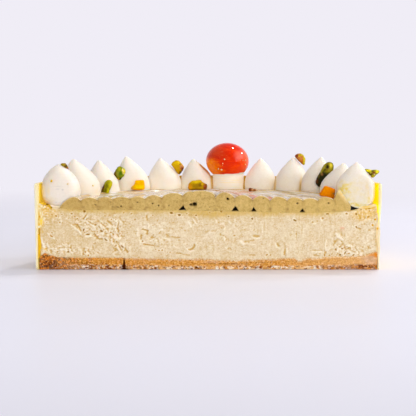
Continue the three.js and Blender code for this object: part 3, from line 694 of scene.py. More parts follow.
# named hollows of the cheesecake's cut face: picture x, y, long and short half size (pixels), turn (degrees), depth (mm)
CHEESE_PITS = [
    (84.3, 211.4, 1.3, 1.1, -35, 1.9), (72.7, 209.8, 0.8, 0.8, 0, 1.0), (71.3, 213.8, 1.0, 0.8, 0, 1.4), (74.6, 216.8, 0.9, 0.7, -20, 0.8),
    (77.3, 218.8, 1.0, 0.8, 0, 0.9), (85.4, 216.0, 1.6, 0.6, 50, 0.8), (83.8, 218.3, 0.9, 0.7, 0, 0.8), (76.6, 224.4, 1.7, 0.7, -12, 0.7),
    (83.6, 230.0, 1.5, 0.7, 75, 1.2), (87.5, 234.5, 2.1, 0.7, 0, 1.2), (95.1, 225.0, 0.9, 0.8, 0, 0.9), (101.4, 231.0, 1.6, 0.9, -15, 1.5),
    (97.4, 231.7, 1.2, 0.5, 0, 0.8), (105.6, 239.7, 2.1, 0.7, -40, 1.2), (94.0, 243.9, 1.8, 0.5, 0, 0.45), (110.8, 232.5, 1.3, 0.6, -20, 0.8),
    (113.2, 234.4, 1.2, 0.6, -45, 0.8), (117.9, 228.4, 1.4, 0.6, 80, 0.9), (111.3, 219.4, 1.0, 0.8, 60, 0.8), (118.0, 236.0, 1.0, 0.7, -40, 0.7),
    (116.4, 241.6, 1.2, 0.7, 60, 0.9), (113.2, 241.8, 0.7, 0.6, 0, 0.6), (115.4, 246.0, 1.3, 0.8, 0, 0.9), (122.3, 246.8, 2.0, 0.7, -50, 1.3),
    (55.8, 216.0, 1.3, 0.8, -50, 0.9), (51.6, 214.7, 1.0, 0.7, 0, 0.8), (61.9, 214.4, 0.9, 0.7, 0, 0.7), (59.8, 222.5, 0.8, 1.0, 0, 0.9),
    (46.9, 222.5, 0.8, 0.6, 0, 0.6), (50.8, 208.6, 0.9, 0.7, 0, 0.9), (53.4, 222.4, 0.6, 0.5, 0, 0.3), (51.2, 236.2, 2.1, 0.7, -38, 1.0),
    (51.9, 232.9, 0.9, 0.6, -20, 0.7), (56.3, 240.4, 0.8, 0.6, 0, 0.7), (63.4, 243.4, 0.9, 0.6, 0, 0.7), (68.1, 244.2, 1.1, 0.5, 0, 0.7),
    (59.5, 247.2, 0.8, 0.5, 0, 0.5), (67.9, 251.8, 1.0, 0.9, 60, 1.3), (57.3, 251.6, 1.0, 0.8, 0, 0.7), (45.4, 248.6, 1.0, 0.7, 0, 0.8),
    (70.3, 247.3, 1.1, 0.6, -60, 0.6), (85.4, 252.1, 0.7, 1.1, 0, 1.0), (88.4, 255.3, 1.0, 0.7, -20, 1.0), (97.7, 252.4, 1.0, 0.6, 0, 0.7),
    (59.0, 254.0, 1.0, 0.5, 0, 0.5), (76.0, 226.6, 1.0, 0.5, -50, 0.4), (104.5, 213.0, 1.6, 0.6, -10, 0.4), (114.5, 213.6, 1.6, 0.6, -20, 0.4),
    (123.6, 212.7, 0.9, 0.8, 0, 0.9), (131.4, 213.8, 1.0, 0.8, 0, 1.0), (134.8, 219.3, 1.2, 0.7, 0, 0.8), (125.4, 224.4, 1.3, 0.5, 0, 0.4),
    (152.7, 215.4, 0.7, 0.6, 0, 0.9), (171.4, 213.1, 1.6, 1.0, -12, 1.7), (179.1, 215.1, 1.6, 0.8, -8, 1.7), (186.8, 213.8, 1.0, 0.8, 0, 0.8),
    (195.9, 215.4, 0.9, 0.8, 0, 1.5), (221.2, 211.6, 1.0, 0.8, 0, 1.4), (213.3, 210.6, 0.8, 0.8, 0, 0.9), (209.6, 212.6, 0.8, 0.8, 0, 0.7),
    (228.6, 216.6, 0.8, 0.8, 0, 1.2), (252.3, 218.9, 0.9, 0.9, 0, 1.7), (294.8, 220.5, 1.6, 0.8, -30, 1.8), (280.7, 212.4, 0.8, 0.7, 0, 0.9),
    (327.5, 214.1, 1.7, 0.7, 0, 1.4), (346.5, 213.9, 1.2, 0.9, 0, 1.4), (356.2, 214.2, 0.9, 1.1, 0, 1.5), (352.5, 218.0, 0.9, 0.6, 0, 0.8),
    (360.8, 209.8, 0.8, 0.7, 0, 0.9), (369.0, 208.6, 1.1, 0.8, 0, 1.1), (368.4, 217.1, 1.3, 0.8, 10, 1.0), (364.9, 217.8, 0.9, 0.6, 0, 0.5),
    (374.9, 219.5, 0.8, 0.8, 0, 0.8), (372.4, 224.8, 0.9, 0.8, 0, 1.4), (356.3, 227.0, 1.2, 0.7, -40, 1.4), (358.1, 238.0, 0.8, 0.7, 0, 0.7),
    (322.8, 218.4, 1.2, 1.1, -40, 0.5), (312.8, 222.4, 1.1, 0.8, 0, 0.45), (335.8, 249.7, 1.3, 0.8, -50, 1.4), (339.6, 246.9, 0.9, 0.9, 0, 1.0),
    (342.2, 248.6, 1.0, 0.8, 0, 1.3), (345.2, 253.0, 2.0, 0.7, 58, 1.3), (340.2, 255.0, 1.2, 0.8, 10, 1.4), (348.6, 248.0, 1.4, 0.7, 20, 0.8),
    (353.4, 255.0, 1.3, 0.7, 15, 1.2), (349.0, 253.6, 1.0, 0.8, 0, 0.8), (355.5, 248.3, 0.8, 0.6, 0, 0.6), (324.6, 255.6, 0.8, 1.1, 0, 0.8),
    (329.3, 255.4, 0.9, 0.8, 0, 0.7), (342.0, 244.4, 0.8, 1.0, 0, 0.4), (142.4, 241.3, 1.0, 0.8, 0, 1.2), (155.6, 249.4, 0.7, 0.6, 0, 0.9),
    (158.9, 250.6, 0.8, 0.8, 0, 0.8), (162.0, 250.3, 0.9, 0.8, -20, 1.1), (167.4, 252.0, 0.5, 0.6, 0, 0.6), (170.2, 252.2, 1.0, 0.6, 0, 1.0),
    (234.3, 235.9, 1.5, 0.7, 0, 0.55), (266.8, 255.0, 1.5, 0.7, 45, 0.7), (270.6, 255.0, 1.0, 0.8, 40, 0.6), (241.9, 261.4, 1.0, 0.8, 0, 1.2),
    (351.8, 240.0, 0.9, 0.5, 0, 0.3), (138.6, 257.4, 1.2, 0.6, 0, 0.6), (140.4, 254.1, 0.8, 0.5, 0, 0.4),
]
GROOVES = [  # picture points, half width (pixels), depth (mm)
    ([(94.2, 233.8), (96.6, 237.6), (99.3, 239.0), (102.5, 239.2)], 0.7, 0.55), ([(142.4, 229.1), (147.5, 230.7)], 0.65, 0.7), ([(147.3, 230.9), (146.8, 234.2)], 0.8, 0.45),
    ([(141.0, 235.2), (141.0, 238.4)], 0.7, 0.5), ([(143.6, 244.1), (148.5, 245.0), (153.9, 245.7)], 0.5, 0.75), ([(153.9, 245.7), (159.5, 246.8)], 0.5, 0.2),
    ([(176.2, 253.2), (181.0, 253.5)], 0.5, 0.7), ([(181.0, 254.2), (189.5, 255.3)], 0.5, 0.25), ([(194.4, 244.6), (193.9, 247.4), (191.6, 249.2), (188.8, 249.8)], 0.8, 0.55),
    ([(172.2, 236.9), (176.0, 237.6), (179.6, 237.6)], 0.8, 0.3), ([(166.6, 234.9), (169.3, 236.4)], 0.9, 0.25), ([(152.0, 236.6), (154.0, 237.6)], 0.8, 0.3),
    ([(220.6, 234.6), (222.4, 235.4)], 0.9, 0.22), ([(206.0, 232.0), (209.0, 231.0)], 0.9, 0.2), ([(212.6, 231.2), (216.0, 230.6)], 0.9, 0.2),
    ([(253.5, 236.2), (258.8, 236.3)], 1.1, 0.3), ([(244.7, 241.6), (249.0, 241.4), (254.1, 240.3)], 0.6, 0.28), ([(227.0, 249.4), (229.6, 247.8), (231.5, 249.8)], 0.6, 0.3),
    ([(277.2, 244.0), (278.6, 245.8)], 0.9, 0.35), ([(285.2, 249.6), (284.2, 254.6)], 0.8, 0.45), ([(284.5, 243.5), (284.9, 247.5)], 1.2, 0.2),
    ([(249.0, 255.0), (255.0, 255.3)], 0.7, 0.25), ([(313.0, 250.4), (322.0, 250.4)], 0.8, 0.25), ([(314.0, 255.2), (318.5, 255.8)], 0.8, 0.25), ([(357.0, 228.0), (360.0, 229.0)], 0.7, 0.45),
    ([(346.5, 249.0), (350.4, 247.6), (350.6, 250.4)], 0.7, 0.5), ([(325.8, 252.2), (324.4, 255.0)], 0.9, 0.35), ([(341.5, 241.2), (342.8, 244.0)], 0.7, 0.3),
    ([(75.0, 224.0), (78.0, 226.0), (80.4, 230.6)], 0.8, 0.5), ([(86.6, 214.4), (83.4, 219.4)], 0.7, 0.4), ([(88.0, 221.4), (92.0, 223.8), (95.5, 224.6)], 0.7, 0.4), ([(98.5, 225.8), (101.0, 229.6)], 0.7, 0.4),
    ([(100.8, 223.4), (105.2, 227.0), (108.0, 229.8)], 0.8, 0.4), ([(107.6, 221.0), (112.4, 225.0)], 0.8, 0.35), ([(118.8, 222.0), (117.6, 228.0), (118.2, 232.0)], 0.7, 0.5), ([(120.5, 219.4), (123.6, 222.6)], 0.8, 0.35),
    ([(109.0, 236.4), (113.0, 238.4), (114.0, 242.6)], 0.7, 0.4), ([(118.6, 244.4), (120.4, 249.4)], 0.7, 0.4), ([(89.5, 229.4), (92.8, 232.0)], 0.8, 0.35), ([(79.8, 236.2), (82.4, 237.4)], 0.7, 0.2),
    ([(61.0, 244.6), (64.6, 247.4)], 0.7, 0.25), ([(70.8, 245.6), (71.8, 250.6)], 0.6, 0.35), ([(84.0, 248.4), (83.4, 254.6)], 0.6, 0.35), ([(88.0, 250.4), (90.4, 253.6)], 0.7, 0.35), ([(92.6, 246.0), (93.6, 250.0)], 0.7, 0.2),
    ([(125.0, 248.6), (127.4, 252.0)], 0.9, 0.6), ([(146.6, 215.6), (147.0, 219.6)], 0.9, 0.3), ([(157.0, 238.6), (158.8, 243.0)], 0.8, 0.2), ([(113.4, 248.4), (118.0, 250.6)], 0.7, 0.25),
    ([(344.6, 246.4), (345.6, 249.8)], 0.7, 0.35), ([(352.0, 251.0), (356.4, 252.4)], 0.7, 0.35), ([(336.0, 241.0), (333.6, 245.0)], 0.8, 0.25), ([(361.6, 249.4), (364.0, 252.2)], 0.8, 0.2),
    ([(302.5, 224.0), (302.0, 233.0)], 0.8, 0.12), ([(296.5, 232.0), (296.8, 240.0)], 0.9, 0.12), ([(213.5, 244.0), (213.0, 254.0)], 0.9, 0.12), ([(206.0, 244.0), (207.0, 254.0)], 0.9, 0.1), ([(331.0, 222.0), (331.0, 230.0)], 0.9, 0.1),
]
RIDGES = [
    ([(71.3, 225.6), (75.4, 228.0), (78.6, 231.0), (80.8, 234.4)], 0.7, 0.4), ([(84.6, 221.4), (88.6, 222.4)], 0.8, 0.4), ([(90.6, 224.4), (94.4, 226.8), (94.8, 230.4)], 0.7, 0.35), ([(100.7, 224.4), (104.2, 229.1), (103.6, 232.6)], 0.8, 0.45),
    ([(97.4, 234.6), (100.4, 233.6), (104.0, 234.4)], 0.7, 0.35), ([(85.4, 236.6), (90.6, 236.4)], 0.7, 0.35), ([(106.4, 237.6), (108.8, 241.0)], 0.6, 0.35), ([(41.5, 242.4), (44.8, 249.6)], 0.8, 0.35), ([(47.6, 233.4), (49.6, 235.6), (54.0, 239.0)], 0.6, 0.3),
    ([(114.2, 219.7), (117.0, 223.0)], 0.9, 0.4), ([(117.0, 224.2), (115.4, 230.4)], 0.8, 0.3), ([(120.6, 232.2), (119.6, 238.8)], 0.8, 0.3), ([(110.8, 240.2), (112.8, 243.8)], 0.7, 0.3), ([(120.4, 243.0), (124.8, 246.4)], 0.7, 0.3), ([(117.8, 247.6), (120.6, 252.0)], 0.7, 0.3),
    ([(137.1, 229.4), (137.6, 235.6)], 0.9, 0.3), ([(148.4, 223.4), (148.6, 228.4)], 0.8, 0.3), ([(139.6, 240.6), (140.6, 244.4)], 0.7, 0.25), ([(188.4, 222.0), (191.6, 227.0)], 0.7, 0.3), ([(192.8, 218.6), (196.2, 224.0)], 0.6, 0.3), ([(196.6, 217.4), (198.4, 221.4)], 0.6, 0.25),
    ([(186.6, 249.0), (189.4, 251.4), (193.6, 250.6)], 0.7, 0.25), ([(173.4, 245.6), (176.0, 247.6), (179.4, 248.2)], 0.7, 0.18), ([(165.4, 238.4), (169.6, 239.6)], 0.9, 0.25), ([(158.0, 231.0), (162.4, 229.6)], 0.8, 0.2), ([(150.0, 240.6), (153.4, 239.6)], 0.8, 0.2),
    ([(220.2, 224.6), (223.4, 224.0), (225.4, 227.2), (223.6, 230.2)], 0.7, 0.22), ([(240.6, 241.8), (243.2, 243.6)], 1.1, 0.42), ([(243.6, 243.4), (250.0, 244.4), (258.8, 245.2)], 0.7, 0.18), ([(251.8, 236.8), (256.5, 238.6), (261.2, 237.0)], 0.7, 0.22),
    ([(224.2, 237.6), (224.6, 240.4)], 0.7, 0.28), ([(225.6, 247.4), (227.4, 250.6), (230.0, 251.8)], 0.6, 0.2), ([(275.2, 243.4), (276.5, 246.8), (279.4, 248.4)], 0.7, 0.3), ([(286.8, 249.0), (287.2, 252.6)], 0.8, 0.3), ([(216.0, 220.4), (217.2, 222.6)], 0.7, 0.25),
    ([(234.6, 219.2), (236.0, 222.6)], 0.7, 0.2), ([(229.0, 221.2), (230.2, 223.4)], 0.7, 0.2), ([(262.2, 225.0), (262.5, 232.5)], 0.9, 0.15), ([(233.0, 225.4), (238.0, 230.0), (240.0, 234.0)], 0.8, 0.12), ([(265.6, 250.6), (268.4, 252.6)], 0.7, 0.2),
    ([(336.4, 234.2), (338.4, 236.4), (342.4, 239.2)], 1.3, 0.5), ([(339.0, 241.4), (341.6, 243.2)], 0.9, 0.25), ([(326.4, 240.8), (325.2, 246.0), (326.2, 251.0)], 0.7, 0.35), ([(320.6, 218.0), (321.8, 221.2)], 0.7, 0.35), ([(313.4, 223.6), (316.0, 223.4)], 0.6, 0.25),
    ([(337.4, 247.2), (337.6, 251.8)], 0.7, 0.35), ([(343.0, 250.6), (342.8, 254.0)], 0.7, 0.35), ([(346.0, 245.6), (350.8, 245.4), (352.2, 248.8)], 0.7, 0.35), ([(347.6, 251.0), (350.6, 251.2)], 0.7, 0.3), ([(355.8, 250.2), (357.4, 254.0)], 0.8, 0.3),
    ([(362.2, 208.6), (362.0, 217.4), (365.0, 219.6), (370.6, 219.6)], 0.7, 0.3), ([(354.4, 212.6), (356.4, 211.4)], 0.6, 0.2), ([(312.8, 251.6), (321.6, 252.0)], 0.7, 0.2), ([(303.2, 228.0), (303.3, 238.0)], 0.6, 0.12), ([(364.0, 242.6), (370.0, 244.0)], 0.8, 0.15),
    ([(46.0, 241.8), (47.8, 246.0), (52.4, 249.0)], 0.7, 0.25), ([(60.4, 249.4), (64.2, 253.4)], 0.8, 0.25), ([(69.4, 249.6), (72.4, 253.0)], 0.8, 0.3), ([(80.6, 249.6), (81.6, 254.8)], 0.7, 0.25), ([(86.8, 247.6), (90.0, 248.6)], 0.8, 0.25), ([(101.0, 247.4), (100.4, 252.4)], 0.8, 0.15),
]
ROUGH = [  # places where the curd is torn: picture x, y, half width, half height, strength
    (88, 224, 15, 10, 0.9), (103, 231, 17, 9, 1.0), (116, 232, 9, 18, 0.9), (120, 246, 10, 9, 0.8), (64, 250, 26, 6, 0.8), (90, 253, 14, 5, 0.7), (60, 217, 16, 7, 0.45), (44, 247, 5, 8, 0.8),
    (346, 250, 19, 7, 1.0), (366, 213, 11, 9, 0.8), (42, 216, 7, 11, 1.0), (160, 236, 24, 14, 0.35), (148, 226, 10, 10, 0.35), (228, 236, 34, 16, 0.2), (318, 252, 12, 5, 0.35), (338, 238, 9, 7, 0.4), (371, 240, 8, 14, 0.35), (105, 246, 14, 7, 0.3),
    (192, 222, 9, 8, 0.35), (130, 222, 10, 6, 0.3),
]
STRIP_FOOT = [(56, 211.4), (62, 213.4), (85, 214.0), (100, 214.0), (120, 214.4), (150, 214.0), (165, 214.5), (180, 215.0), (195, 216.4), (203, 218.2), (215, 218.3), (228, 217.3), (250, 216.2), (262, 217.2), (275, 216.6), (290, 216.2), (315, 216.8), (325, 215.8), (335, 215.3), (345, 213.4), (351, 210.5)]


YOLK_THREADS = [
    ([(41.0, 206.4), (44.0, 205.8), (47.6, 206.6), (50.6, 208.4)], 0.94, 0.95), ([(42.6, 210.0), (45.2, 208.2), (48.2, 209.4)], 0.75, 0.85), ([(43.6, 213.0), (46.6, 211.4), (49.0, 211.8)], 0.62, 0.75),
    ([(50.0, 206.6), (51.2, 209.0)], 1.00, 0.9), ([(43.0, 215.6), (45.8, 214.2)], 0.62, 0.6), ([(47.4, 213.8), (49.8, 214.8)], 0.62, 0.5), ([(42.2, 219.4), (43.6, 222.4), (43.0, 225.4)], 0.75, 0.55),
    ([(41.6, 229.0), (42.6, 232.4)], 0.62, 0.35), ([(44.6, 217.4), (46.4, 219.2)], 0.56, 0.4), ([(53.2, 209.4), (55.4, 211.2)], 0.75, 0.5), ([(42.4, 247.4), (44.8, 249.4)], 0.62, 0.6), ([(45.8, 248.6), (46.6, 250.2)], 0.75, 0.6),
]
# the first row is a painted highlight along the glossy top edge of the corner; the others are white curd
WHITE_CURD_AND_HIGHLIGHT = [
    ([(40.4, 204.9), (43.0, 204.4), (45.9, 204.7), (49.8, 206.7)], 0.56, 0.9), ([(42.6, 207.9), (45.0, 207.0), (48.2, 208.0)], 0.56, 0.8), ([(44.2, 210.8), (47.0, 210.3)], 0.56, 0.7), ([(42.0, 212.6), (42.6, 214.8)], 0.56, 0.8),
    ([(45.2, 213.0), (47.4, 212.4)], 0.56, 0.6), ([(43.6, 217.2), (45.4, 218.6)], 0.56, 0.5), ([(52.8, 211.4), (55.2, 213.4)], 0.56, 0.5), ([(40.8, 238.0), (42.4, 243.0), (44.4, 248.4)], 0.88, 0.75), ([(43.0, 250.4), (44.2, 252.2)], 1.00, 0.8),
    ([(41.2, 251.4), (42.0, 253.4)], 0.62, 0.5), ([(48.0, 249.4), (49.4, 252.4)], 0.62, 0.6), ([(53.0, 252.4), (55.2, 253.4)], 0.62, 0.6), ([(61.6, 249.0), (64.2, 250.6)], 0.62, 0.5), ([(66.4, 253.4), (69.4, 254.0)], 0.62, 0.5), ([(58.4, 245.6), (60.4, 246.8)], 0.56, 0.4),
]


def pixel_rows(rows):
    out = []
    for px, py, a, b, turn, deep in rows:
        x, z = spot(px, py)
        out.append((x, z, a / 1.917, b / 1.917, math.radians(turn), deep))
    return out


def cheesecake():
    rows = pixel_rows(CHEESE_PITS)
    rng = np.random.RandomState(5)
    small = []
    while len(small) < 520:
        px, py = rng.uniform(40, 377), rng.uniform(208, 257)
        x, z = spot(px, py)
        rough = float(ellipses(np.array([x]), np.array([z]), ROUGH)[0])
        if rng.rand() > rough * 0.9 + 0.1:
            continue
        a = rng.uniform(0.16, 0.46)
        small.append((x, z, a, a * rng.uniform(0.45, 0.9), rng.choice([-0.8, 0.9, 0.1]) + rng.normal() * 0.35, rng.uniform(0.2, 0.6) * (0.5 + 0.6 * rough)))
    got = {}

    def front(x, z, v):
        # everything is drawn through a slight warp, so that nothing is ruled
        wx = x + 0.22 * N1(x / 1.1, z / 1.1, 5.0) + 0.1 * N2(x / 0.5, z / 0.5, 2.0)
        wz = z + 0.22 * N1(x / 1.1, z / 1.1, 25.0) + 0.1 * N2(x / 0.5, z / 0.5, 12.0)
        rough = ellipses(x, z, ROUGH, 1.2)
        depth, mask = hollows(wx, wz, rows)
        depth2, mask2 = hollows(wx, wz, small)
        _, mask3 = hollows(wx, wz, [r for r in rows if r[5] >= 1.2])
        torn = 1 - np.abs(N2(wx / 1.9 + 0.25 * wz, wz / 1.5, 2.0)) * 2.1
        torn2 = 1 - np.abs(N3(wx / 0.95, wz / 0.85, 9.0)) * 2.0
        lumps = N4.fbm(wx / 2.3, wz / 2.0, 1.0, 3)
        h = 0.1 * N1.fbm(x / 8.0, z / 7.0, 1.0, 3)
        h = h + (0.035 + 0.17 * rough) * lumps
        h = h + rough ** 1.2 * (0.20 * torn + 0.12 * torn2)
        h = h + (0.06 + 0.05 * rough) * N2.fbm(x / 0.75, z / 0.75, 4.0, 2) + (0.045 + 0.03 * rough) * N1(x / 1.15, z / 1.05, 14.0)
        down = smooth(190, 225, 208 + x * 1.917)
        h = h + 0.05 * N4(x / 0.9, z / 8.0, 3.0) * down * smooth(-0.3, 0.4, N1(x / 14.0, z / 9.0, 6.0) + 0.2)
        h = h + 0.035 * N3(x / 7.0, z / 0.8, 4.0) * (1 - down)
        h = h + 0.75 * strokes(wx, wz, RIDGES) - 0.8 * strokes(wx, wz, GROOVES)
        rim, _ = hollows(wx, wz, [(a, b, c * 1.75, d * 1.9, t, 0.16 * min(1.0, e)) for a, b, c, d, t, e in rows], 2.2)
        h = h + 1.6 * rim - depth * 0.6 - 0.7 * depth2
        across = 208 + x * 1.917
        cover = smooth(58, 64, across) * (1 - smooth(344, 350, across))
        edge = smooth(0.965, 1.0, v)
        h = h - 0.3 * edge * (1 - cover) + 0.2 * cover * smooth(0.82, 1.0, v)
        flat = blurred(h, 4.0)
        wide = blurred(h, 9.0)
        fine = np.clip(h, -0.8, 1) - np.clip(flat, -0.8, 1)
        relief = 0.75 * fine + 0.35 * (flat - wide)
        # painted highlight on the raised parts of the relief and painted shade in its hollows
        got["peak"] = np.clip(relief / 0.12, 0, 1)
        got["cav"] = np.clip(-relief / 0.15, 0, 1)
        # painted shade in the pits, darkest in the deep ones
        got["pit"] = np.clip(np.maximum(1.25 * mask, 1.1 * mask2), 0, 1)
        got["deep"] = np.clip(1.3 * mask3 - 0.45, 0, 1) * np.clip(0.75 + 0.5 * N1(x / 9.0, z / 9.0, 31.0), 0.2, 1)
        got["foot"] = smooth(1.0, 0.1, z - crust_line(x, 0 * x)) * (0.35 + 0.65 * smooth(150, 210, 208 + 1.917 * x))
        return np.clip(0.42 - h, 0.03, 3.5)

    def colour(x, d, z, v, on_front):
        n = int(on_front.sum())
        xf, zf = x[:n], z[:n]
        px = 208 + xf * 1.917
        py = 131.5 + 1.917 * (72 - zf)
        out = {k: np.zeros(len(x)) for k in ("pit", "cav", "peak", "deep", "foot", "white", "strip", "yolk", "pink", "black")}
        for k in ("pit", "cav", "peak", "deep", "foot"):
            out[k][:n] = got[k].ravel()
        foot = np.interp(px, [q[0] for q in STRIP_FOOT], [q[1] for q in STRIP_FOOT]) + 0.9 * N1.fbm(xf / 3.0, zf / 6.0, 9.0, 3)
        out["strip"][:n] = (1 - smooth(-4.6, 2.4, py - foot - 0.7 * N3.fbm(xf / 1.2, zf / 1.2, 8.0, 2))) * smooth(57, 62, px) * (1 - smooth(345, 351, px))
        yolk = ellipses(xf, zf, [(42, 205.6, 6.5, 1.3, 0.8), (45.3, 207.2, 3.5, 1.3, 1.0), (50.5, 208.0, 2.0, 1.4, 0.8), (37.6, 212, 1.7, 3.5, 1.0), (38.2, 219, 1.5, 3, 0.7), (40.2, 223, 2.0, 2.6, 1.0), (43.2, 213, 2.5, 3, 0.4),
                                  (377.0, 228.3, 1.4, 1.4, 1.0), (375.0, 219.6, 1.0, 1.0, 0.9), (372.4, 224.8, 0.8, 0.8, 0.5), (39.9, 247, 1.3, 14, 0.85), (41.2, 247, 1.6, 6, 0.5), (376.6, 236, 1.2, 14, 0.25), (368.5, 207.0, 9, 3.2, 1.0), (364, 213.5, 13, 7.5, 0.55), (370, 211, 6, 4, 0.4), (376.0, 212, 1.3, 8, 0.2), (44, 209.0, 7, 4, 0.8), (50, 213, 9, 6, 0.35), (41, 218, 3, 12, 0.4)])
        yolk = yolk * np.clip(0.75 + 0.9 * N2.fbm(xf / 0.9, zf / 0.9, 3.0, 3), 0, 1)
        # drawn-out threads of yellow and white curd in the crumbly left corner, with a painted highlight among the
        # white ones
        wx, wz = xf + 0.25 * N1(xf / 0.9, zf / 0.9, 51.0), zf + 0.25 * N1(xf / 0.9, zf / 0.9, 61.0)
        out["yolk"][:n] = np.clip(np.maximum(yolk, strokes(wx, wz, YOLK_THREADS)), 0, 1)
        out["white"][:n] = np.clip(strokes(wx, wz, WHITE_CURD_AND_HIGHLIGHT), 0, 0.95)
        # outer wall and rim carry some of the band's yellow
        r = np.hypot(x, d)
        out["yolk"] = np.maximum(out["yolk"], (~on_front) * smooth(85.2, 87.4, r) * 0.55 * np.clip(0.6 + N2.fbm(x / 2.0, d / 2.0, z / 2.0, 3), 0, 1))
        out["pink"][:n] = ellipses(xf, zf, [(342.2, 228.0, 2.6, 1.0, 0.75), (342.0, 230.6, 3.0, 1.0, 0.25)])
        # painted golden shade on the cheesecake top in the gap under the left-hand kiss
        out["yolk"] = np.maximum(out["yolk"], (~on_front) * smooth(-78, -81, x) * (1 - smooth(5, 9, d)) * smooth(31, 32, z))
        # painted shadow in the corner under the right-hand kiss
        out["black"] = np.maximum(out["black"], (~on_front) * smooth(72.5, 74.0, x) * (1 - smooth(77.5, 80.0, x)) * (1 - smooth(5, 9, d)) * smooth(30, 31, z))
        return out

    def left_r(v):
        return 87.45 + 0.25 * smooth(0.75, 0.3, v) - 0.6 * smooth(0.92, 1.0, v)

    def right_r(v):
        return 88.86 - 0.9 * smooth(0.66, 0.97, v) - 0.5 * smooth(0.95, 1.0, v)

    phis = np.radians(np.array([0, 0.2, 0.6, 1.3, 2.5, 4.2, 6.5, 9.5, 13, 18, 24, 30, 36, 43, 50, 57, 64, 71, 78, 84, 88, 90.0]))
    o = half_body(
        "cheesecake_cut", 600, 96, phis, left_r, right_r,
        lambda x, d: fill_top(x, d) + 0.12 * N2(x / 2.5, d / 2.5, 1.0),
        lambda x, d: crust_line(x, d) - 0.05,
        front, cheese_material(), colour, top_rough=0.25)
    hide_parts("cheesecake_filling")


CRUST_EDGE = [(38.4, 258.1), (41.5, 255.6), (44.5, 252.6), (47.0, 254.2), (50, 255.4), (56, 256.8), (62, 257.6), (80, 257.9), (100, 257.8), (118, 258.0), (123.5, 257.8), (126, 258.6), (135, 258.4), (145, 258.8), (160, 259.2), (170, 259.6), (180, 259.2), (190, 260.0),
              (198, 259.2), (205, 259.6), (214, 260.4), (228, 260.6), (238, 261.4), (246, 260.2), (254, 260.6), (262, 259.6), (275, 259.6), (284, 258.8), (290, 258.6), (294.5, 258.8), (297.5, 261.2), (300.5, 261.8), (303.0, 260.4), (305.0, 259.4), (311, 258.9),
              (317, 259.0), (322, 258.6), (325, 257.4), (335, 257.0), (345, 257.2), (353, 256.8), (361, 257.1), (365, 255.9), (368, 254.8), (373.4, 253.0), (378, 251.5)]


def crust_line(x, d):
    """Top of the crust: as seen at the cut, running out into the general shape behind."""
    edge = np.array([spot(px, py) for px, py in CRUST_EDGE])
    seen = np.interp(x, edge[:, 0], edge[:, 1])
    near = np.exp(-((d / 5.0) ** 2))
    seen = seen + 0.26 * N2.fbm(x / 0.85, 3.0 + 0 * x, 5.0, 3) * smooth(-70, -55, x)
    return seen * near + crust_top(x, d) * (1 - near)


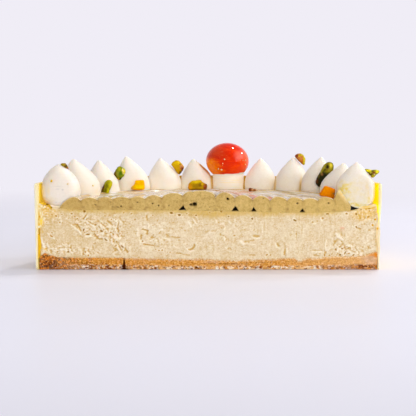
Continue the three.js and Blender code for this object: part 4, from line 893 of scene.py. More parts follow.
def crust():
    got = {}

    def height_split(x):
        """Height of the border between the compact upper part and the crumbly lower part."""
        return np.interp(x, [-88, -80, -60, -44, -20, 0, 40, 70, 88], [4.5, 2.6, 2.6, 2.4, 1.9, 1.7, 2.0, 2.3, 3.0]) + 0.35 * N1.fbm(x / 5.0, 0.0, 7.0, 3)

    def front(x, z, v):
        low = 1 - smooth(-0.5, 0.5, z - height_split(x))
        low = np.maximum(low, (1 - smooth(-84, -70, x)) * (1 - smooth(5.2, 6.8, z)) * 0.9)
        f1, f2, val = cells(x, z, 1.25, 3)
        g1, g2, val2 = cells(x, z, 0.62, 4)
        gap = 1 - smooth(0.02, 0.26, f2 - f1)
        gap2 = 1 - smooth(0.02, 0.3, g2 - g1)
        deep = smooth(0.62, 0.95, val) * (1 - smooth(0.35, 0.75, f1))
        h = 0.12 * N2.fbm(x / 2.2, z / 1.4, 2.0, 4)
        h = h + low * (0.24 * gap * smooth(0.25, 0.8, val) + 0.12 * gap2 + 0.34 * deep + 0.12 * N3.fbm(x / 0.9, z / 0.9, 4.0, 3))
        edge = 1 - smooth(0.0, 0.9, z)
        h = h + low * edge * 0.2 * np.clip(0.4 + N4.fbm(x / 1.6, 1.0, 3.0, 3), 0, 1.5)
        # the crack, open at the foot
        cx, _ = spot(123.6, 262)
        wide = np.interp(z, [0, 0.8, 1.6, 2.4, 4.4, 5.4], [1.5, 0.75, 1.05, 0.55, 0.34, 0.12])
        lean = np.interp(z, [0, 1.2, 2.2, 5.4], [0.3, -0.1, 0.25, 0.2]) + 0.12 * N1(z / 0.8, 3.0)
        crack = np.exp(-(((x - cx - lean) / wide) ** 4))
        h = h + 2.2 * crack
        # painted shade in the recessed gaps between crumbs and in the crack, joined below by the darkest crumbs
        cav = np.clip(low * (0.5 * deep + 0.22 * gap * smooth(0.3, 0.9, val) + 0.08 * gap2), 0, 1)
        # darkest crumbs: left corner, and the foot at the right
        corner = ellipses(x, z, [(50, 264, 7, 4, 0.95), (43, 262, 5, 3, 0.5), (88, 266, 20, 3.2, 0.5), (62, 268, 14, 2, 0.6), (126, 268.3, 6, 1.2, 0.8), (368, 266.6, 12, 1.9, 1.0), (345, 268.0, 18, 1.4, 0.8), (275, 268.4, 14, 1.0, 0.5), (180, 266, 3, 1.6, 0.6), (165, 267, 14, 1.2, 0.3), (228, 263.8, 26, 0.55, 0.75), (264, 262.5, 18, 0.4, 0.5), (304, 261.8, 26, 0.36, 0.4), (78, 262.6, 12, 0.5, 0.4), (160, 263.0, 16, 0.4, 0.45)])
        corner = corner * smooth(-0.25, 0.35, N4.fbm(x / 1.4, z / 1.1, 6.0, 3) + 0.1)
        cav = np.clip(np.maximum(cav, 0.85 * corner), 0, 1)
        cav = np.maximum(cav, np.clip(1.3 * crack, 0, 1))
        got["low"], got["cav"] = low, cav
        top_edge = crust_line(x, 0 * x)
        got["brow"] = smooth(0.9, 0.1, top_edge - z) * (0.3 + 0.7 * smooth(150, 210, 208 + 1.917 * x))
        drip = smooth(1.3, 0.1, top_edge - z) * smooth(0.0, 0.5, N1.fbm(x / 2.4, z / 1.5, 8.0, 3) + 0.02) * smooth(-60, -30, x)
        got["pale"] = 0.85 * drip
        got["pale"] = np.maximum(got["pale"], ellipses(x, z, [(370.5, 259.6, 9, 4.4, 0.95), (212, 262.0, 9, 0.9, 0.7), (236, 264.5, 8, 1.5, 0.4), (340, 266, 20, 1.2, 0.3)]) * np.clip(0.8 + 0.6 * N2.fbm(x / 1.1, z / 0.8, 3.3, 3), 0, 1))
        got["hot"] = ellipses(x, z, [(376.2, 254.8, 2.6, 2.8, 0.95), (372.0, 255.0, 4.0, 1.2, 0.6), (377.6, 262, 0.9, 8, 0.5)])
        return 0.12 + h

    def colour(x, d, z, v, on_front):
        n = int(on_front.sum())
        out = {k: np.zeros(len(x)) for k in ("lower", "cav", "pale", "hot", "brow")}
        for k, key in (("lower", "low"), ("cav", "cav"), ("pale", "pale"), ("hot", "hot"), ("brow", "brow")):
            out[k][:n] = got[key].ravel()
        rest = ~on_front
        out["lower"][rest] = 1 - smooth(2.0, 4.0, z[rest])
        return out

    def left_r(v):
        return 88.3 - 0.25 * smooth(0.8, 1.0, v) + 0 * v

    def right_r(v):
        return 88.62 + 0 * v

    phis = np.radians(np.array([0, 0.25, 0.8, 2, 4, 7, 11, 16, 22, 28, 34, 40, 46, 52, 58, 64, 70, 76, 82, 87, 90.0]))

    def base(x, d):
        return 0 * x

    o = half_body("biscuit_base", 820, 30, phis, left_r, right_r, lambda x, d: crust_line(x, d) + 0.16 * N2.fbm(x / 1.6, d / 1.6, 3.0, 3), base, front, crust_material(), colour)
    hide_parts("biscuit_crust")


# ------------------------------------------------------------------ band
def band():
    r_in, r_out, flare, h = 88.8, 90.2, 0.3, 45.2
    prof = []
    # a share of the way round the section: inner foot, inner wall, lip, outer wall, outer foot
    for z in np.linspace(0.0, h - 0.7, 26):
        prof.append((r_in + 0.02 * math.sin(z / 3), z, 0))
    for a in np.linspace(0, math.pi, 9):
        mid, half = (r_in + r_out + flare) / 2, (r_out + flare - r_in) / 2
        prof.append((mid - half * math.cos(a), h - 0.7 + 0.66 * math.sin(a), 1))
    for z in np.linspace(h - 0.9, 0.0, 26):
        prof.append((r_out + flare * smooth(0.3 * h, h, z), z, 0))
    prof = np.array(prof)
    n = len(prof)
    depths = [0.0, 0.12, 0.35, 0.8, 1.6]
    angles = [math.asin(q / 90.0) for q in depths] + list(np.linspace(0.035, math.pi - 0.035, 230)) + [math.pi - math.asin(q / 90.0) for q in depths[::-1]]
    verts, edge, glow, left_end, deep, across, smeared, left_in = [], [], [], [], [], [], [], []
    for j, a in enumerate(angles):
        left = a < math.pi / 2
        end = min(a, math.pi - a) * 90.0
        for r, z, lip in prof:
            mid = (r_in + r_out + flare * smooth(0.3 * h, h, z)) / 2
            rr = r
            if end < 0.3:  # rounded cut edges
                rr = mid + (r - mid) * (1 - 0.16 * (1 - end / 0.3))
            # near the left cut the wall is thicker towards the top, near the right cut thinner
            if left:
                rr = rr - (r < mid) * 0.75 * smooth(14, 40, z) * math.exp(-end / 16.0)
            else:
                rr = rr - (r > mid) * 0.55 * (1 - smooth(25, 33, z)) * math.exp(-end / 6.0)
            x, y = -rr * math.cos(a), rr * math.sin(a)
            wave = 0.05 * float(N1(x / 9.0, y / 9.0, z / 9.0))
            x, y = x * (1 + wave / 90), y * (1 + wave / 90)
            front = 0.05 + 0.1 * float(N2(r * 1.1, z / 2.2, 3.0 if left else 7.0)) if end < 0.05 else 0
            verts.append((x, CUT_Y + max(y, 0) + max(front, 0), z))
            low = smooth(24, 33, z) if left else smooth(19.5, 26, z)
            if left:
                low = max(float(low), 1.0 * math.exp(-end / 16.0))
            # painted glow on the inner wall: near the cut ends, at the back and in the gap at the right
            behind = 0.55 * smooth(38, 62, end) * (0.15 + 0.85 * smooth(33, 41, z)) * (1 - 0.35 * smooth(42.0, 44.6, z)) * smooth(27, 33, z) * (1 - 0.3 * lip)
            gap = 0.0 if left else 0.41 * smooth(35.0, 33.0, z) * smooth(20.5, 27.0, z) * math.exp(-(end / 26.0) ** 2)
            glow.append(float((r < mid) * (0.588 * max(math.exp(-(end / 26.0) ** 2) * smooth(0.1, 0.6, end) * low * (1 - 0.6 * lip), behind) + gap)))
            # painted shade on the inner wall away from the cut ends
            deep.append(float((r < mid) * (1 - 0.1 * lip) * smooth(35, 60, end)))
            left_end.append(1.0 if left else 0.0)
            left_in.append(float(left and r < mid) * math.exp(-end / 20.0))
            across.append(float(r < mid))
            smeared.append(0.0 if left else float((1 - smooth(0.4, 2.0, end)) * (1 - smooth(22, 28, z))))
            edge.append(float(1 - smooth(0.15, 4.8 if left and r < mid else 0.9, end)) * (1.0 if left else 0.85) + 0.25 * lip * float(1 - smooth(0, 6, end)))
    faces = []
    for j in range(len(angles) - 1):
        for i in range(n):
            a, b = j * n + i, j * n + (i + 1) % n
            faces.append((a, b, b + n, a + n))
    last = (len(angles) - 1) * n
    # end caps: strips between the inner and the outer wall
    for start in (0, last):
        ring = list(range(start, start + n))
        lo, hi = 0, n - 1
        while hi - lo > 2:
            faces.append((ring[lo], ring[lo + 1], ring[hi - 1], ring[hi]))
            lo += 1
            hi -= 1
        if hi - lo == 2:
            faces.append((ring[lo], ring[lo + 1], ring[hi]))
    o = mesh_object("band_wall", np.array(verts), faces, band_material(), {"edge": np.clip(edge, 0, 1), "glow": np.clip(glow, 0, 1), "left_end": left_end, "deep": deep, "across": across, "smeared": smeared, "left_in": left_in})
    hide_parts("yellow_band")


# ------------------------------------------------------------------ piping
ROPES = [  # outer valley radius, crest height, outer valley height, where the crest lies (0 inner, 1 outer); each at the left and the right end
    ((5.5, 6.0), (41.2, 41.2), (40.9, 37.7), (0.5, 0.5)),
    ((11.0, 16.0), (40.95, 40.6), (38.9, 37.5), (0.3, 0.46)),
    ((21.95, 25.3), (40.2, 39.1), (37.7, 36.5), (0.48, 0.44)),
    ((30.6, 34.4), (39.1, 38.7), (37.2, 36.15), (0.5, 0.5)),
    ((38.8, 43.3), (38.2, 38.3), (37.3, 36.3), (0.5, 0.46)),
    ((47.5, 51.4), (38.2, 37.9), (36.9, 36.3), (0.5, 0.42)),
    ((55.3, 59.3), (38.1, 37.4), (36.6, 36.2), (0.5, 0.5)),
    ((64.3, 68.0), (37.8, 38.1), (36.2, 36.3), (0.5, 0.42)),
    ((75.4, 76.2), (38.1, 38.2), (32.0, 31.2), (0.28, 0.3)),
]
PIPING_PITS = [  # picture x, y, half sizes (pixels), turn, depth (mm)
    (137.3, 202.4, 0.8, 0.6, 30, 0.9), (152.6, 203.7, 0.7, 0.8, 0, 1.4), (158.4, 205.6, 0.7, 0.8, 0, 1.5), (168.7, 205.8, 0.5, 0.7, 0, 0.9),
    (120.9, 206.3, 0.8, 0.7, 0, 1.3), (120.6, 200.6, 0.6, 0.5, 0, 0.6), (297.4, 203.5, 1.0, 0.7, 10, 1.6), (328.6, 203.2, 0.8, 0.7, -30, 1.2),
    (263.4, 198.6, 0.6, 0.5, 0, 0.8), (190.8, 204.4, 1.5, 0.9, 10, 1.2), (95.4, 205.0, 0.8, 0.8, 0, 0.7), (94.7, 204.8, 0.6, 0.5, 0, 0.6), (110.2, 202.2, 0.9, 0.7, 0, 0.4),
    (117.6, 207.2, 1.6, 0.8, -30, 0.5), (216.0, 195.0, 0.7, 1.0, -30, 0.6), (112.4, 207.0, 1.0, 0.6, 0, 0.4), (209.4, 207.4, 0.6, 0.6, 0, 0.5),
]
SHADOWED = [  # faint dark wedges where two ropes meet the cheesecake: picture x, y, half width, half height, strength
    (82.8, 207.4, 2.2, 1.2, 0.5), (97.4, 206.6, 2.4, 1.4, 0.5), (114.8, 207.8, 2.2, 1.4, 0.4), (130.3, 207.6, 1.8, 1.3, 0.65), (146.7, 207.6, 1.9, 1.2, 0.65), (163.9, 207.4, 1.6, 1.3, 0.6),
    (270.2, 208.8, 1.7, 1.5, 0.7), (287.7, 209.4, 1.3, 1.4, 0.75), (333.6, 210.0, 2.0, 1.2, 0.5), (299.0, 201.0, 1.0, 0.8, 0.25), (216.2, 203.0, 0.7, 5.0, 0.15),
]
HOLES = [  # triangles left open under the ropes, painted black as shade: tip, then left and right foot, in picture points
    ((183.1, 205.6), (178.9, 210.2), (185.8, 210.2)), ((235.4, 206.2), (232.0, 211.0), (238.6, 211.0)), ((253.7, 207.4), (251.5, 211.4), (256.4, 211.4)), ((302.6, 208.7), (300.2, 212.2), (305.0, 212.2)),
]


DRAWN_UP = [(64.9, 36.3), (65.7, 37.4), (66.7, 39.9), (67.7, 41.7), (68.5, 41.9), (69.6, 40.3), (71.1, 38.2), (72.4, 36.6), (73.6, 34.9), (74.4, 33.4)]  # x and height


def inside(x, z, corners, soft=0.14):
    """1 inside a triangle of picture points, 0 outside."""
    pts = [spot(px, py) for px, py in corners]
    cx, cz = sum(p[0] for p in pts) / 3, sum(p[1] for p in pts) / 3
    out = np.ones(x.shape)
    for (ax, az), (bx, bz) in zip(pts, pts[1:] + pts[:1]):
        nx, nz = bz - az, ax - bx
        k = math.hypot(nx, nz)
        sign = 1 if (cx - ax) * nx + (cz - az) * nz > 0 else -1
        out = np.minimum(out, smooth(-soft, soft, sign * ((x - ax) * nx + (z - az) * nz) / k))
    return out


def piping():
    across = np.linspace(0, 1, 31)[1:]
    cols = [(0, t) for t in np.linspace(0, 1, 21)[1:]]
    for k in range(1, len(ROPES)):
        cols += [(k, t) for t in across]
    ks = np.array([c[0] for c in cols])
    ts = np.array([c[1] for c in cols])
    R = np.array([[r[0][0], r[0][1]] for r in ROPES])
    C = np.array([[r[1][0], r[1][1]] for r in ROPES])
    V = np.array([[r[2][0], r[2][1]] for r in ROPES])
    M = np.array([[r[3][0], r[3][1]] for r in ROPES])
    K = len(cols)

    def section(a):
        """Radius and height of the top at each column, for angle a from the left end (0) to the right end (pi)."""
        s = a / math.pi
        r_out = R[:, 0] + (R[:, 1] - R[:, 0]) * s
        crest = C[:, 0] + (C[:, 1] - C[:, 0]) * s
        val = V[:, 0] + (V[:, 1] - V[:, 0]) * s
        # the hand that piped it was not quite steady
        for i in range(len(r_out) - 1):
            r_out[i] += 0.28 * math.sin(5 * a + 1.7 * i) * math.sin(a) + 0.2 * math.sin(11 * a + 2.9 * i) * math.sin(a)
            crest[i] += (0.22 * math.sin(6 * a + 2.3 * i) + 0.12 * math.sin(15 * a + i)) * min(1.0, 6 * math.sin(a))
        r_in = np.concatenate([[0.0], r_out[:-1]])
        v_in = np.concatenate([[crest[0]], val[:-1]])
        r = r_in[ks] + (r_out[ks] - r_in[ks]) * ts
        level = v_in[ks] + (val[ks] - v_in[ks]) * ts
        mean = 0.5 * (v_in[ks] + val[ks])
        # round arch, leaning to where the crest lies, with an open notch on either side
        peak = (M[:, 0] + (M[:, 1] - M[:, 0]) * s)[ks]
        q = np.where(ts < peak, (peak - ts) / peak, (ts - peak) / (1 - peak))
        # the curve flattens where it is drawn out
        swell = 0.7 * (1 - q ** 1.9) + 0.3 * np.sqrt(np.clip(1 - q ** 2, 0, 1))
        z_in, z_out = v_in[ks], val[ks]
        foot = np.where(ts < peak, z_in, z_out)
        z = foot + (crest[ks] - foot) * swell
        core = ks == 0
        z = np.where(core, val[0] + (crest[0] - val[0]) * np.sqrt(np.clip(1 - ts ** 2.2, 0, 1)), z)
        return r, z

    def base_height(x, d):
        return fill_top(x, d) - 0.12

    verts, groove_shade, pit = [], [], []

    def add(x, d, z, sm=0.0):
        verts.append((x, CUT_Y + d, z))
        groove_shade.append(sm)
        return len(verts) - 1

    # painted shade in the notches between the ropes on the top
    near_valley = np.minimum(ts, 1 - ts) * np.where(ks == 0, 9, 1)
    groove_shade_top = np.where(near_valley < 0.14, 0.95 * (1 - near_valley / 0.14), 0)
    SHIFT = 0.5
    N = 190
    ang = np.linspace(0, math.pi, N + 1)

    def smear(x, z, d):
        """How much the outer rope is drawn up against the kiss at the right end of the cut."""
        up = np.interp(x, [q[0] for q in DRAWN_UP], [q[1] for q in DRAWN_UP]) + 0.12 * N1(x / 0.9, d / 2.0, 2.0)
        return (up - z) * np.exp(-((d / 3.4) ** 2)) * smooth(64.8, 65.6, x)

    def top_z(a, r, z, x, d):
        z = z + 0.05 * N2.fbm(x / 1.8, d / 1.8, 2.0, 2) + 0.07 * N3(x / 5.0, d / 5.0, 1.0)
        return z + smear(x, z, d)

    def line(depth, drop):
        rl, zl = section(0.0)
        rr, zr = section(math.pi)
        x = np.concatenate([SPIRAL_X - rl[::-1], [SPIRAL_X], SPIRAL_X + rr])
        z = np.concatenate([zl[::-1], [ROPES[0][1][0]], zr])
        d = np.full(len(x), depth)
        z = top_z(0, x, z, x, d) - drop
        sm = np.concatenate([groove_shade_top[::-1], [0], groove_shade_top])
        return x, d, z, sm

    lines = []
    for depth, drop in ((0.0, 0.34), (0.1, 0.14), (0.26, 0.03), (SHIFT, 0.0)):
        x, d, z, sm = line(depth, drop)
        lines.append([add(*q) for q in zip(x, d, z, sm)])
    W = 2 * K + 1
    polar = []
    for a in ang[1:-1]:
        r, z = section(a)
        x, d = SPIRAL_X - r * math.cos(a), SHIFT + r * math.sin(a)
        z = top_z(a, r, z, x, d)
        polar.append([add(*q) for q in zip(x, d, z, groove_shade_top)])
    apex = lines[-1][K]
    left = [lines[-1][K - 1 - i] for i in range(K)]
    right = [lines[-1][K + 1 + i] for i in range(K)]
    arcs = [left] + polar + [right]
    faces = []
    for a, b in zip(lines[:-1], lines[1:]):
        quads(a, b, faces)
    for a, b in zip(arcs[:-1], arcs[1:]):
        quads(a, b, faces)
        faces.append((apex, a[0], b[0]))
    # cut face
    nv = 40
    x0 = np.array([verts[i][0] for i in lines[0]])
    z0 = np.array([verts[i][2] for i in lines[0]])
    bottom = base_height(x0, 0 * x0)
    share = np.linspace(0, 1, nv + 1)
    gx = np.repeat(x0[None, :], nv + 1, 0)
    gz = bottom[None, :] + (z0 - bottom)[None, :] * (1 - share[:, None])
    rows = pixel_rows(PIPING_PITS)
    rng = np.random.RandomState(8)
    for _ in range(90):
        px, py = rng.uniform(62, 348), rng.uniform(196, 209)
        a = rng.uniform(0.16, 0.36)
        rows.append((*spot(px, py), a, a * rng.uniform(0.6, 1), rng.uniform(0, 3), rng.uniform(0.12, 0.3)))
    depth, mask = hollows(gx.ravel(), gz.ravel(), rows)
    # painted shade along the borders of the ropes below each valley
    sm = np.zeros(gx.shape)
    groove = np.zeros(gx.shape)
    for k in range(len(ROPES) - 1):
        for side, e in ((-1, 0), (1, 1)):
            cx = SPIRAL_X + side * ROPES[k][0][e]
            if k == 0 and side < 0:
                continue
            vz = ROPES[k][2][e]
            fade = np.clip((gz - 30.5) / (vz - 30.5), 0, 1)
            curve_x = cx + 0.25 * np.sin(gz * 1.3 + k)
            w = np.exp(-(((gx - curve_x) / 0.34) ** 2))
            broad = np.exp(-(((gx - curve_x) / 0.95) ** 2))
            low = np.exp(-(((gz - 31.2) / 1.2) ** 2))
            mottle = np.clip(0.8 + 0.7 * N2.fbm(gx / 0.9, gz / 0.9, 7.0, 2), 0.1, 1.4)
            sm = np.maximum(sm, 0.45 * w * (0.3 + 0.7 * fade ** 2))
            sm = np.maximum(sm, 0.5 * broad * fade ** 3 * mottle)
            sm = np.maximum(sm, 0.5 * broad * low * mottle)
            groove = np.maximum(groove, (0.2 * w + 0.22 * broad) * fade ** 2)
    texture = 0.05 * N2.fbm(gx / 2.0, gz / 1.6, 6.0, 3) + 0.03 * N3(gx / 0.6, gz / 0.6, 2.0)
    wx, wz = gx + 0.1 * N1(gx / 0.8, gz / 0.8, 1.0), gz + 0.1 * N1(gx / 0.8, gz / 0.8, 9.0)
    hole = np.zeros(gx.shape)
    for corners in HOLES:
        hole = np.maximum(hole, inside(wx, wz, corners))
    hole = np.maximum(hole, ellipses(wx, wz, [(227.8, 199.0, 1.15, 1.1, 1.0), (194.6, 204.3, 2.2, 1.9, 0.9), (191.6, 205.4, 2.0, 1.1, 0.45)], 2.5))
    shade = ellipses(wx, wz, SHADOWED, 1.3)
    sm = np.maximum(sm, shade)
    back = 0.12 + texture + groove + 0.25 * shade + depth.reshape(gx.shape) + 4.5 * hole ** 1.5
    # keep the rounded top edge of the section
    back = back * smooth(0.0, 0.12, share)[:, None] + 0.02
    back = back * (1 - 0.7 * smooth(66.0, 69.0, gx) * smooth(34.5, 37.5, gz))
    grid = [lines[0]]
    pit_of = {}
    for j in range(1, nv + 1):
        row = []
        for i in range(W):
            v = add(gx[j, i], back[j, i], gz[j, i], sm[j, i])
            pit_of[v] = mask.reshape(gx.shape)[j, i], hole[j, i]
            row.append(v)
        grid.append(row)
    for i, v in enumerate(lines[0]):
        verts[v] = (verts[v][0], CUT_Y + back[0, i], verts[v][2])
    for a, b in zip(grid[:-1], grid[1:]):
        quads(a, b, faces)
    # outer side and underside
    outer_top = [lines[0][0], lines[1][0], lines[2][0]] + [row[-1] for row in arcs] + [lines[2][-1], lines[1][-1], lines[0][-1]]
    outer_rows = [outer_top]
    for q in (0.35, 0.7, 1.0):
        row = []
        for v in outer_top:
            x, y, z = verts[v]
            d = y - CUT_Y
            if q == 1.0 and v == lines[0][0]:
                row.append(grid[-1][0])
                continue
            if q == 1.0 and v == lines[0][-1]:
                row.append(grid[-1][-1])
                continue
            if v in (lines[0][0], lines[0][-1]):
                j = int(round(q * nv))
                row.append(grid[j][0 if v == lines[0][0] else -1])
                continue
            zb = float(base_height(np.array(x), np.array(d)))
            bulge = 1 + 0.004 * math.sin(q * math.pi)
            row.append(add(SPIRAL_X + (x - SPIRAL_X) * bulge, d * bulge, z + (zb - z) * q, 0.2))
        outer_rows.append(row)
    for a, b in zip(outer_rows[:-1], outer_rows[1:]):
        for i in range(len(a) - 1):
            if i == 0 or i == len(a) - 2:
                # the column at the cut already holds the rows of the cut face between these two
                col = 0 if i == 0 else -1
                ja, jb = None, None
                for j, row in enumerate(grid):
                    if row[col] == (a[i] if i == 0 else a[i + 1]):
                        ja = j
                    if row[col] == (b[i] if i == 0 else b[i + 1]):
                        jb = j
                side = [grid[j][col] for j in range(ja, jb + 1)]
                other = (a[i + 1], b[i + 1]) if i == 0 else (a[i], b[i])
                half = len(side) // 2
                for s0, s1 in zip(side[: half + 1][:-1], side[1 : half + 1]):
                    faces.append((s0, s1, other[0]))
                faces.append((side[half], other[1], other[0]))
                for s0, s1 in zip(side[half:-1], side[half + 1 :]):
                    faces.append((s0, s1, other[1]))
            else:
                faces.append((a[i], a[i + 1], b[i + 1], b[i]))
    hub = add(SPIRAL_X, 34.0, 30.6)
    rim = outer_rows[-1] + grid[-1][::-1][1:-1]
    for a, b in zip(rim, rim[1:] + rim[:1]):
        faces.append((a, b, hub))
    pit, dark = np.zeros(len(verts)), np.zeros(len(verts))
    for v, (m, h) in pit_of.items():
        pit[v], dark[v] = m, h
    V3 = np.array(verts)
    px, py = seen(V3[:, 0], V3[:, 1] - CUT_Y, V3[:, 2])
    film = 0.8 * smooth(-5.2, -0.8, ((px - 336.5) * 17.0 - (py - 186.0) * 13.5) / 21.7) * smooth(207, 199, py) * smooth(331, 336, px)
    d3 = V3[:, 1] - CUT_Y
    top_skin = np.zeros(len(verts))
    for row in lines[1:] + polar:
        top_skin[row] = 1
    along = np.hypot(V3[:, 0] - SPIRAL_X, d3)
    # painted reflection of the pale surround on the glazed top, streaky
    painted_top_sheen = top_skin * smooth(0.4, 1.4, d3) * np.clip(0.4 + 1.9 * N1.fbm(V3[:, 0] / 7.0, along / 0.9, 3.0, 3) + 0.25 * N2.fbm(V3[:, 0] / 2.0, d3 / 2.0, 5.0, 2), 0.0, 0.95)
    # painted highlight along the rounded front edge of the ropes
    rim = np.zeros(len(verts))
    for row, k in ((lines[1], 0.95), (lines[2], 1.0), (lines[3], 0.5)):
        slope = np.gradient(V3[row, 2], V3[row, 0] + 1e-6 * np.arange(len(row)))
        rim[row] = k * np.clip(0.8 * smooth(0.0, 0.5, -slope) + 0.4 * smooth(0.1, 0.8, slope) + 0.32, 0, 1) * np.clip(0.85 + 0.5 * N3(V3[row, 0] / 1.3, 4.0), 0, 1)
    rim *= 1 - smooth(65.0, 66.5, V3[:, 0])
    shine = top_skin * (1 - np.clip(dark, 0, 1))
    o = mesh_object("piped_spiral", V3, faces, piping_material(), {"groove_shade": np.clip(groove_shade, 0, 1), "pit": np.clip(pit, 0, 1), "hole": np.clip(dark, 0, 1), "film": film, "painted_top_sheen": painted_top_sheen, "rim": np.clip(rim, 0, 1), "skin": 0.1 * (1 - np.clip(dark, 0, 1)) * (1 - top_skin) + shine})
    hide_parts("pistachio_piping")


# ------------------------------------------------------------------ kisses
KISSES = [  # angle from straight back, half width, tip height, lean of the tip sideways and backwards, ring radius
    (-85, 9.4, 54.9, -0.9, 0.4, 77.8),
    (-66, 10.8, 56.9, -4.2, 0.6, 76.8),
    (-49.5, 10.0, 55.6, -3.5, 0.4, 77.8),
    (-34.5, 9.8, 57.5, -3.9, 0.2, 77.8),
    (-19.5, 9.6, 56.2, -2.5, 0.5, 77.8),
    (-5.2, 9.25, 55.8, -1.8, 0.1, 77.8),
    (8.9, 9.5, 57.0, 0.0, 0.0, 77.8),
    (23.7, 9.3, 56.1, 0.2, 0.6, 77.8),
    (38.7, 9.7, 57.0, 1.2, 0.2, 77.8),
    (52.8, 9.0, 57.6, 2.5, 0.3, 77.8),
    (67.5, 10.1, 54.6, 2.9, 0.7, 77.8),
    (85, 10.1, 56.2, 0.6, 0.3, 77.8),
]
KISS_BASE, CUT_KISS_Z = 33.5, 47.0
KISS_SHAPE = [(0.80, -0.17), (0.88, -0.05), (0.93, 0.06), (0.985, 0.2), (1.0, 0.33), (0.965, 0.46), (0.86, 0.58), (0.70, 0.69), (0.50, 0.80), (0.29, 0.90), (0.135, 0.965), (0.055, 0.994), (0.0, 1.0)]
BALL_A, BALL_C, BALL_Z = 13.0, 10.8, 54.3


def kiss_place(k):
    a, r, top, lx, ly, ring = KISSES[k]
    return ring * math.sin(math.radians(a)), CUT_Y + ring * math.cos(math.radians(a))


FRONT_KISSES = {  # the two beside the cut: profile as radius and height, centre x, depth, softness of the cut, lean
    0: ([(4.6, 31.0), (6.0, 31.65), (7.2, 32.8), (8.4, 34.6), (9.6, 37.0), (10.15, 39.5), (10.2, 42.0), (9.85, 44.2), (9.0, 46.6), (7.8, 48.7), (6.2, 50.7), (4.3, 52.4), (2.4, 53.7), (1.0, 54.55), (0, 54.9)], -77.6, 8.2, 1.7, -1.3),
    11: ([(5.2, 31.5), (6.2, 31.9), (6.84, 32.3), (7.6, 32.8), (8.4, 33.6), (9.3, 34.9), (9.85, 36.9), (10.15, 39.4), (10.2, 42.0), (10.0, 44.2), (9.3, 46.2), (8.1, 48.2), (6.6, 50.0), (5.0, 51.9), (2.9, 53.9), (1.3, 55.2), (0, 56.1)], 77.7, 6.84, 0.28, 0.6),
}


